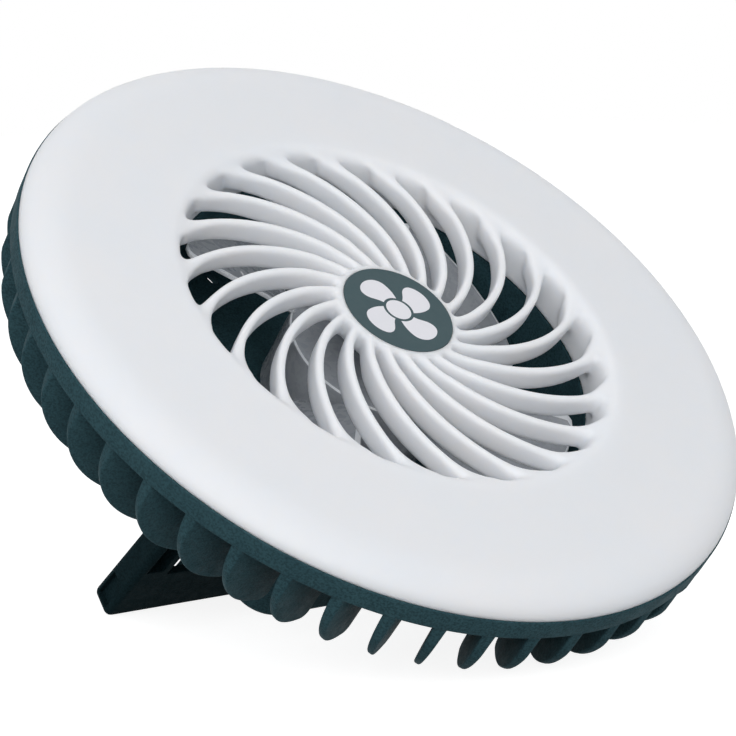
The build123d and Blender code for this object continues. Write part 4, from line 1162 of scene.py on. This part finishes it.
# ---------------------------------------------------------------- rotor
@dataclass
class Rotor:
    """Clear rotor: hub cup and twisted blades, with a painted highlight along the blades' edges and on rings
    of the hub.
    """

    space: FanSpace
    segments: int = 96
    smooth_deg: float = 50.0
    hub_r: float = 25.5
    hub_h: float = 21.5
    hub_round: float = 1.2
    hub_steps: int = 6
    # sides of the hub's section that carry a painted highlight: the slope of its step and the middle of its
    # rounded edge
    hub_highlight_sides: tuple[int, ...] = (1, 5, 6)
    step_r: float = 19.5
    step: float = 0.8
    step_slope: float = 0.3
    wall: float = 1.8
    front: float = 10.0
    boss_r: float = 4.0
    boss_end: float = 3.0
    shaft_r: float = 1.5
    blade_count: int = 4
    blade_front: Pair = (10.0, 5.5)
    blade_back: Pair = (22.5, 23.0)
    blade_angle: Pair = (49.0, 51.0)
    blade_pitch: float = 118.0
    blade_thick: float = 1.3
    blade_sunk: float = 1.0
    tip_r: float = 59.0
    tip_round: float = 3.5
    edge: float = 0.6
    edge_share: float = 0.62
    rows: int = 30
    columns: int = 20

    def blade_sheet(self) -> np.ndarray:
        """Middle surface of one blade.

        Returns:
            Array of points, with rows from the hub to the tip.
        """
        start_r, end_r = self.hub_r - self.blade_sunk, self.tip_r
        rows = []
        for radius in np.append(np.linspace(start_r, end_r - self.edge, self.rows - 1), end_r):
            share = (radius - start_r) / (end_r - start_r)
            front, back, start = (root + (tip - root) * share
                                  for root, tip in (self.blade_front, self.blade_back, self.blade_angle))
            inset = max(radius - self.tip_r + self.tip_round, 0.0)
            corner = self.tip_round - math.sqrt(max(self.tip_round ** 2 - inset ** 2, 0.0))
            low, high = front + corner, back - corner
            inner = np.linspace(low + self.edge, high - self.edge, self.columns - 2)
            depth = np.concatenate([[low], inner, [high]])
            angle = np.radians(start - (depth - front) / self.blade_pitch * 360.0)
            rows.append(polar(radius, angle, -depth))
        return np.array(rows)

    def blade(self) -> tuple[np.ndarray, list[Face], list[Face]]:
        """One blade with its two skins and its edge strips, which carry a painted highlight.

        Returns:
            Points, skin faces, and the edge faces that carry the painted highlight.
        """
        sheet = self.blade_sheet()
        normal = np.cross(np.gradient(sheet, axis=0), np.gradient(sheet, axis=1))
        normal /= np.linalg.norm(normal, axis=-1, keepdims=True)
        rows, columns = self.rows, self.columns
        share = np.ones((rows, columns, 1))
        share[0, :] = share[:, 0] = share[:, -1] = self.edge_share
        half = self.blade_thick / 2 * share
        points = np.stack([sheet + normal * half, sheet - normal * half]).reshape(-1, 3)
        count = rows * columns
        skin, highlight_strips = [], []
        for k, face in enumerate(grid_faces(rows, columns)):
            row, column = divmod(k, columns - 1)
            # faces of the last row and of the first and last columns are strips that carry the painted edge
            # highlight
            (highlight_strips if row == rows - 2 or column in (0, columns - 2) else skin).append(face)
        skin_below, highlight_strips_under = ([tuple(count + k for k in reversed(face)) for face in faces]
                                    for faces in (skin, highlight_strips))
        border = [(0, j) for j in range(columns)] + [(i, columns - 1) for i in range(1, rows)]
        border += [(rows - 1, j) for j in range(columns - 2, -1, -1)]
        border += [(i, 0) for i in range(rows - 2, 0, -1)]
        ring = [i * columns + j for i, j in border]
        edges = [(a, b, count + b, count + a) for a, b in zip(ring, ring[1:] + ring[:1])]
        return points, skin + skin_below, edges + highlight_strips + highlight_strips_under

    def hub_section(self) -> list[Pair]:
        """Closed section of the hub cup with its boss and the shallow step in its face.

        Returns:
            Radius and height of its points.
        """
        r = self.hub_round
        crown = arc((self.hub_r - r, -self.front - r), (r, r), 90.0, 0.0, self.hub_steps)
        inner = self.hub_r - self.wall
        low = -self.front - self.step
        roof = low - self.wall
        back = -self.front - self.hub_h
        return [(self.shaft_r, low), (self.step_r - self.step_slope, low), (self.step_r, -self.front), *crown,
                (self.hub_r, back), (inner, back), (inner, roof), (self.boss_r, roof),
                (self.boss_r, back + self.boss_end), (self.shaft_r, back + self.boss_end)]

    def build(self, skin: Moulding, edge: Moulding) -> bpy.types.Object:
        """Make the rotor and let it stand for the CAD node.

        Args:
            skin: Finish of the clear moulding.
            edge: Finish that paints a highlight on the blades' edges and on rings of the hub.

        Returns:
            The piece.
        """
        shape = Shape()
        section = self.hub_section()
        points, faces = revolved(section, self.segments)
        # the hub's step slope and the middle of its rounded edge get the finish with the painted highlight
        for mark in (0, 1):
            chosen = [face for k, face in enumerate(faces)
                      if (k % len(section) in self.hub_highlight_sides) == bool(mark)]
            shape.add(points, chosen, mark)
        # the blades' edge faces take the finish with the painted highlight
        points, *parts = self.blade()
        for mark, faces in enumerate(parts):
            shape.add_round((points, faces), self.blade_count, mark=mark)
        piece = shape.build("clear_rotor", self.space, [skin, edge], self.smooth_deg)
        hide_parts("fan_rotor")
        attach(piece, "rotor")
        return piece


# ---------------------------------------------------------------- nodes that keep their CAD shape
@dataclass
class CarriedParts:
    """CAD nodes that stay as they are and get their finish here."""

    nodes: dict[str, bpy.types.Object]
    finishes: Finishes

    def plan(self) -> list[tuple[Finish, tuple[str, ...]]]:
        """Which finish goes on which nodes.

        Returns:
            Pairs of a finish and the names of its nodes.
        """
        f = self.finishes
        return [
            (f.teal, ("rear_housing", "rear_cover")),
            # the stand gets the teal darkened with painted shade
            (f.stand, ("stand",)),
            (f.badge, ("hub_badge",)),
            (f.symbol, ("badge_symbol",)),
            (f.button, ("fan_button", "light_button")),
            (f.lens, ("indicator_lens",)),
            (f.tray, ("light_reflector",)),
            (f.chip, ("led_chips",)),
            (f.lamp_board, ("led_board",)),
            (f.pad, ("thermal_pad",)),
            (f.rubber, ("cover_seal", "rear_feet")),
            (f.black_part, ("motor_end_cap", "battery_tray", "board_parts", "fan_switch", "light_switch")),
            (f.film, ("battery_cells",)),
            (f.nylon, ("friction_washer_right", "friction_washer_left")),
            (f.zinc, ("housing_screws", "motor_bracket", "bracket_screws", "motor_screws", "rotor_clip",
                      "board_screws", "hinge_pin_right", "hinge_pin_left")),
            (f.can, ("motor_can", "motor_shaft")),
            (f.oxide, ("rear_screws",)),
            (f.magnet, ("motor_magnets",)),
            (f.core, ("motor_armature",)),
            (f.bronze, ("front_bearing", "rear_bearing")),
            (f.nickel, ("battery_contacts", "charge_socket")),
            (f.board, ("control_board",)),
        ]

    def dress(self) -> None:
        """Give every carried node its material."""
        for finish, names in self.plan():
            material = finish.build()
            for name in names:
                for slot in self.nodes[name].material_slots:
                    slot.material = material
                LOG.info("dressed %s in %s", name, material.name)


# ---------------------------------------------------------------- studio
@dataclass(frozen=True)
class Lamp:
    """A soft square lamp.

    Attributes:
        name: Its name.
        place: Where it hangs, in metres.
        size: Its side in metres.
        power: Its power in watts.
        colour: Its colour.
    """

    name: str
    place: Triple
    size: float
    power: float
    colour: Colour = (0.985, 0.99, 1.0)

    def hang(self, target: Vector) -> None:
        """Hang the lamp and aim it at a point.

        Args:
            target: The point, in metres.
        """
        data = bpy.data.lights.new(self.name, "AREA")
        assign(data, {"shape": "SQUARE", "size": self.size, "energy": self.power, "color": self.colour})
        lamp = linked(self.name, data)
        lamp.location = self.place
        lamp.rotation_euler = (target - Vector(self.place)).to_track_quat("-Z", "Y").to_euler()


@dataclass
class Studio:
    """White floor, soft light and the camera."""

    space: FanSpace
    aim_mm: Triple = (-5.9, 2.8, -12.2)
    azimuth_deg: float = -39.21
    elevation_deg: float = 7.525
    distance_m: float = 0.6745
    focal_px: float = 2500.0
    sensor_mm: float = 36.0
    clip_m: Pair = (0.02, 30.0)
    floor_m: float = 6.0
    floor_greys: tuple[Colour, Colour] = ((0.50, 0.50, 0.50), (0.49, 0.49, 0.49))
    floor_patch_mm: float = 3.0
    floor_glow: float = 0.87
    sky: Colour = (0.92, 0.94, 0.97)
    sky_strength: float = 0.54
    lamps: tuple[Lamp, ...] = (
        Lamp("face_lamp", (-0.70, -1.23, 0.60), 1.1, 8.9, (1.0, 0.995, 0.985)),
        Lamp("left_lamp", (-1.45, -0.25, 0.55), 1.0, 3.8),
        Lamp("top_lamp", (0.1, -0.4, 1.7), 1.6, 3.8),
    )

    def camera(self) -> None:
        """Make the camera and give it to the scene."""
        data = bpy.data.cameras.new("camera")
        assign(data, {"sensor_width": self.sensor_mm, "lens": self.focal_px * self.sensor_mm / IMAGE_SIZE,
                      "clip_start": self.clip_m[0], "clip_end": self.clip_m[1]})
        camera = linked("camera", data)
        azimuth, elevation = math.radians(self.azimuth_deg), math.radians(self.elevation_deg)
        look = Vector((-math.sin(azimuth) * math.cos(elevation), math.cos(azimuth) * math.cos(elevation),
                       -math.sin(elevation)))
        camera.location = self.space.centre + Vector(self.aim_mm) * MM - look * self.distance_m
        camera.rotation_euler = look.to_track_quat("-Z", "Y").to_euler()
        bpy.context.scene.camera = camera

    def floor(self) -> None:
        """Make the pale floor; it shows white to the camera and keeps the shadow."""
        half = self.floor_m / 2
        corners = np.array([(-half, -half, 0.0), (half, -half, 0.0), (half, half, 0.0), (-half, half, 0.0)])
        floor = linked("floor", new_mesh("floor", corners, [(0, 1, 2, 3)]))
        nodes = Nodes(bpy.data.materials.new("pale_floor"))
        patches = nodes.between(nodes.noise(self.floor_patch_mm), 0.0, 1.0)
        plain = nodes.first("BsdfDiffuse", {"Color": nodes.blend(patches, *self.floor_greys)})
        glow = nodes.first("Emission", {"Color": WHITE, "Strength": self.floor_glow})
        bright = nodes.first("AddShader", {0: plain, 1: glow})
        mixed = nodes.first("MixShader", {"Fac": nodes.seen(), 1: plain, 2: bright})
        floor.data.materials.append(nodes.end(mixed))

    def sky_light(self) -> None:
        """White surroundings for the camera and an even sky for the light."""
        nodes = Nodes(bpy.data.worlds.new("studio_sky"), "OutputWorld")
        dim = nodes.first("Background", {"Color": self.sky, "Strength": self.sky_strength})
        white = nodes.first("Background", {"Color": WHITE})
        mixed = nodes.first("MixShader", {"Fac": nodes.seen(), 1: dim, 2: white})
        bpy.context.scene.world = nodes.end(mixed)

    def build(self) -> None:
        """Set up everything around the fan."""
        self.camera()
        self.floor()
        self.sky_light()
        for lamp in self.lamps:
            lamp.hang(self.space.centre)
        bpy.context.scene.view_settings.view_transform = "Standard"


def main() -> None:
    """Build the fan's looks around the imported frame."""
    logging.basicConfig(level=logging.INFO, format="%(message)s")
    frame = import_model()
    space = FanSpace(frame["joints"])
    finishes = Finishes()
    low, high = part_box("finned_rim")
    rim_r = (high[0] - low[0]) / 2 / MM
    Studio(space).build()
    pieces = [
        GuardCover(space, rim_r).build(finishes.opal),
        FinRim(space, rim_r).build(finishes.teal),
        Rotor(space).build(finishes.rotor, finishes.rotor_highlight),
    ]
    for piece in pieces:
        LOG.info("built %s with %d faces", piece.name, len(piece.data.polygons))
    CarriedParts(frame["nodes"], finishes).dress()


if __name__ == "__main__":
    main()
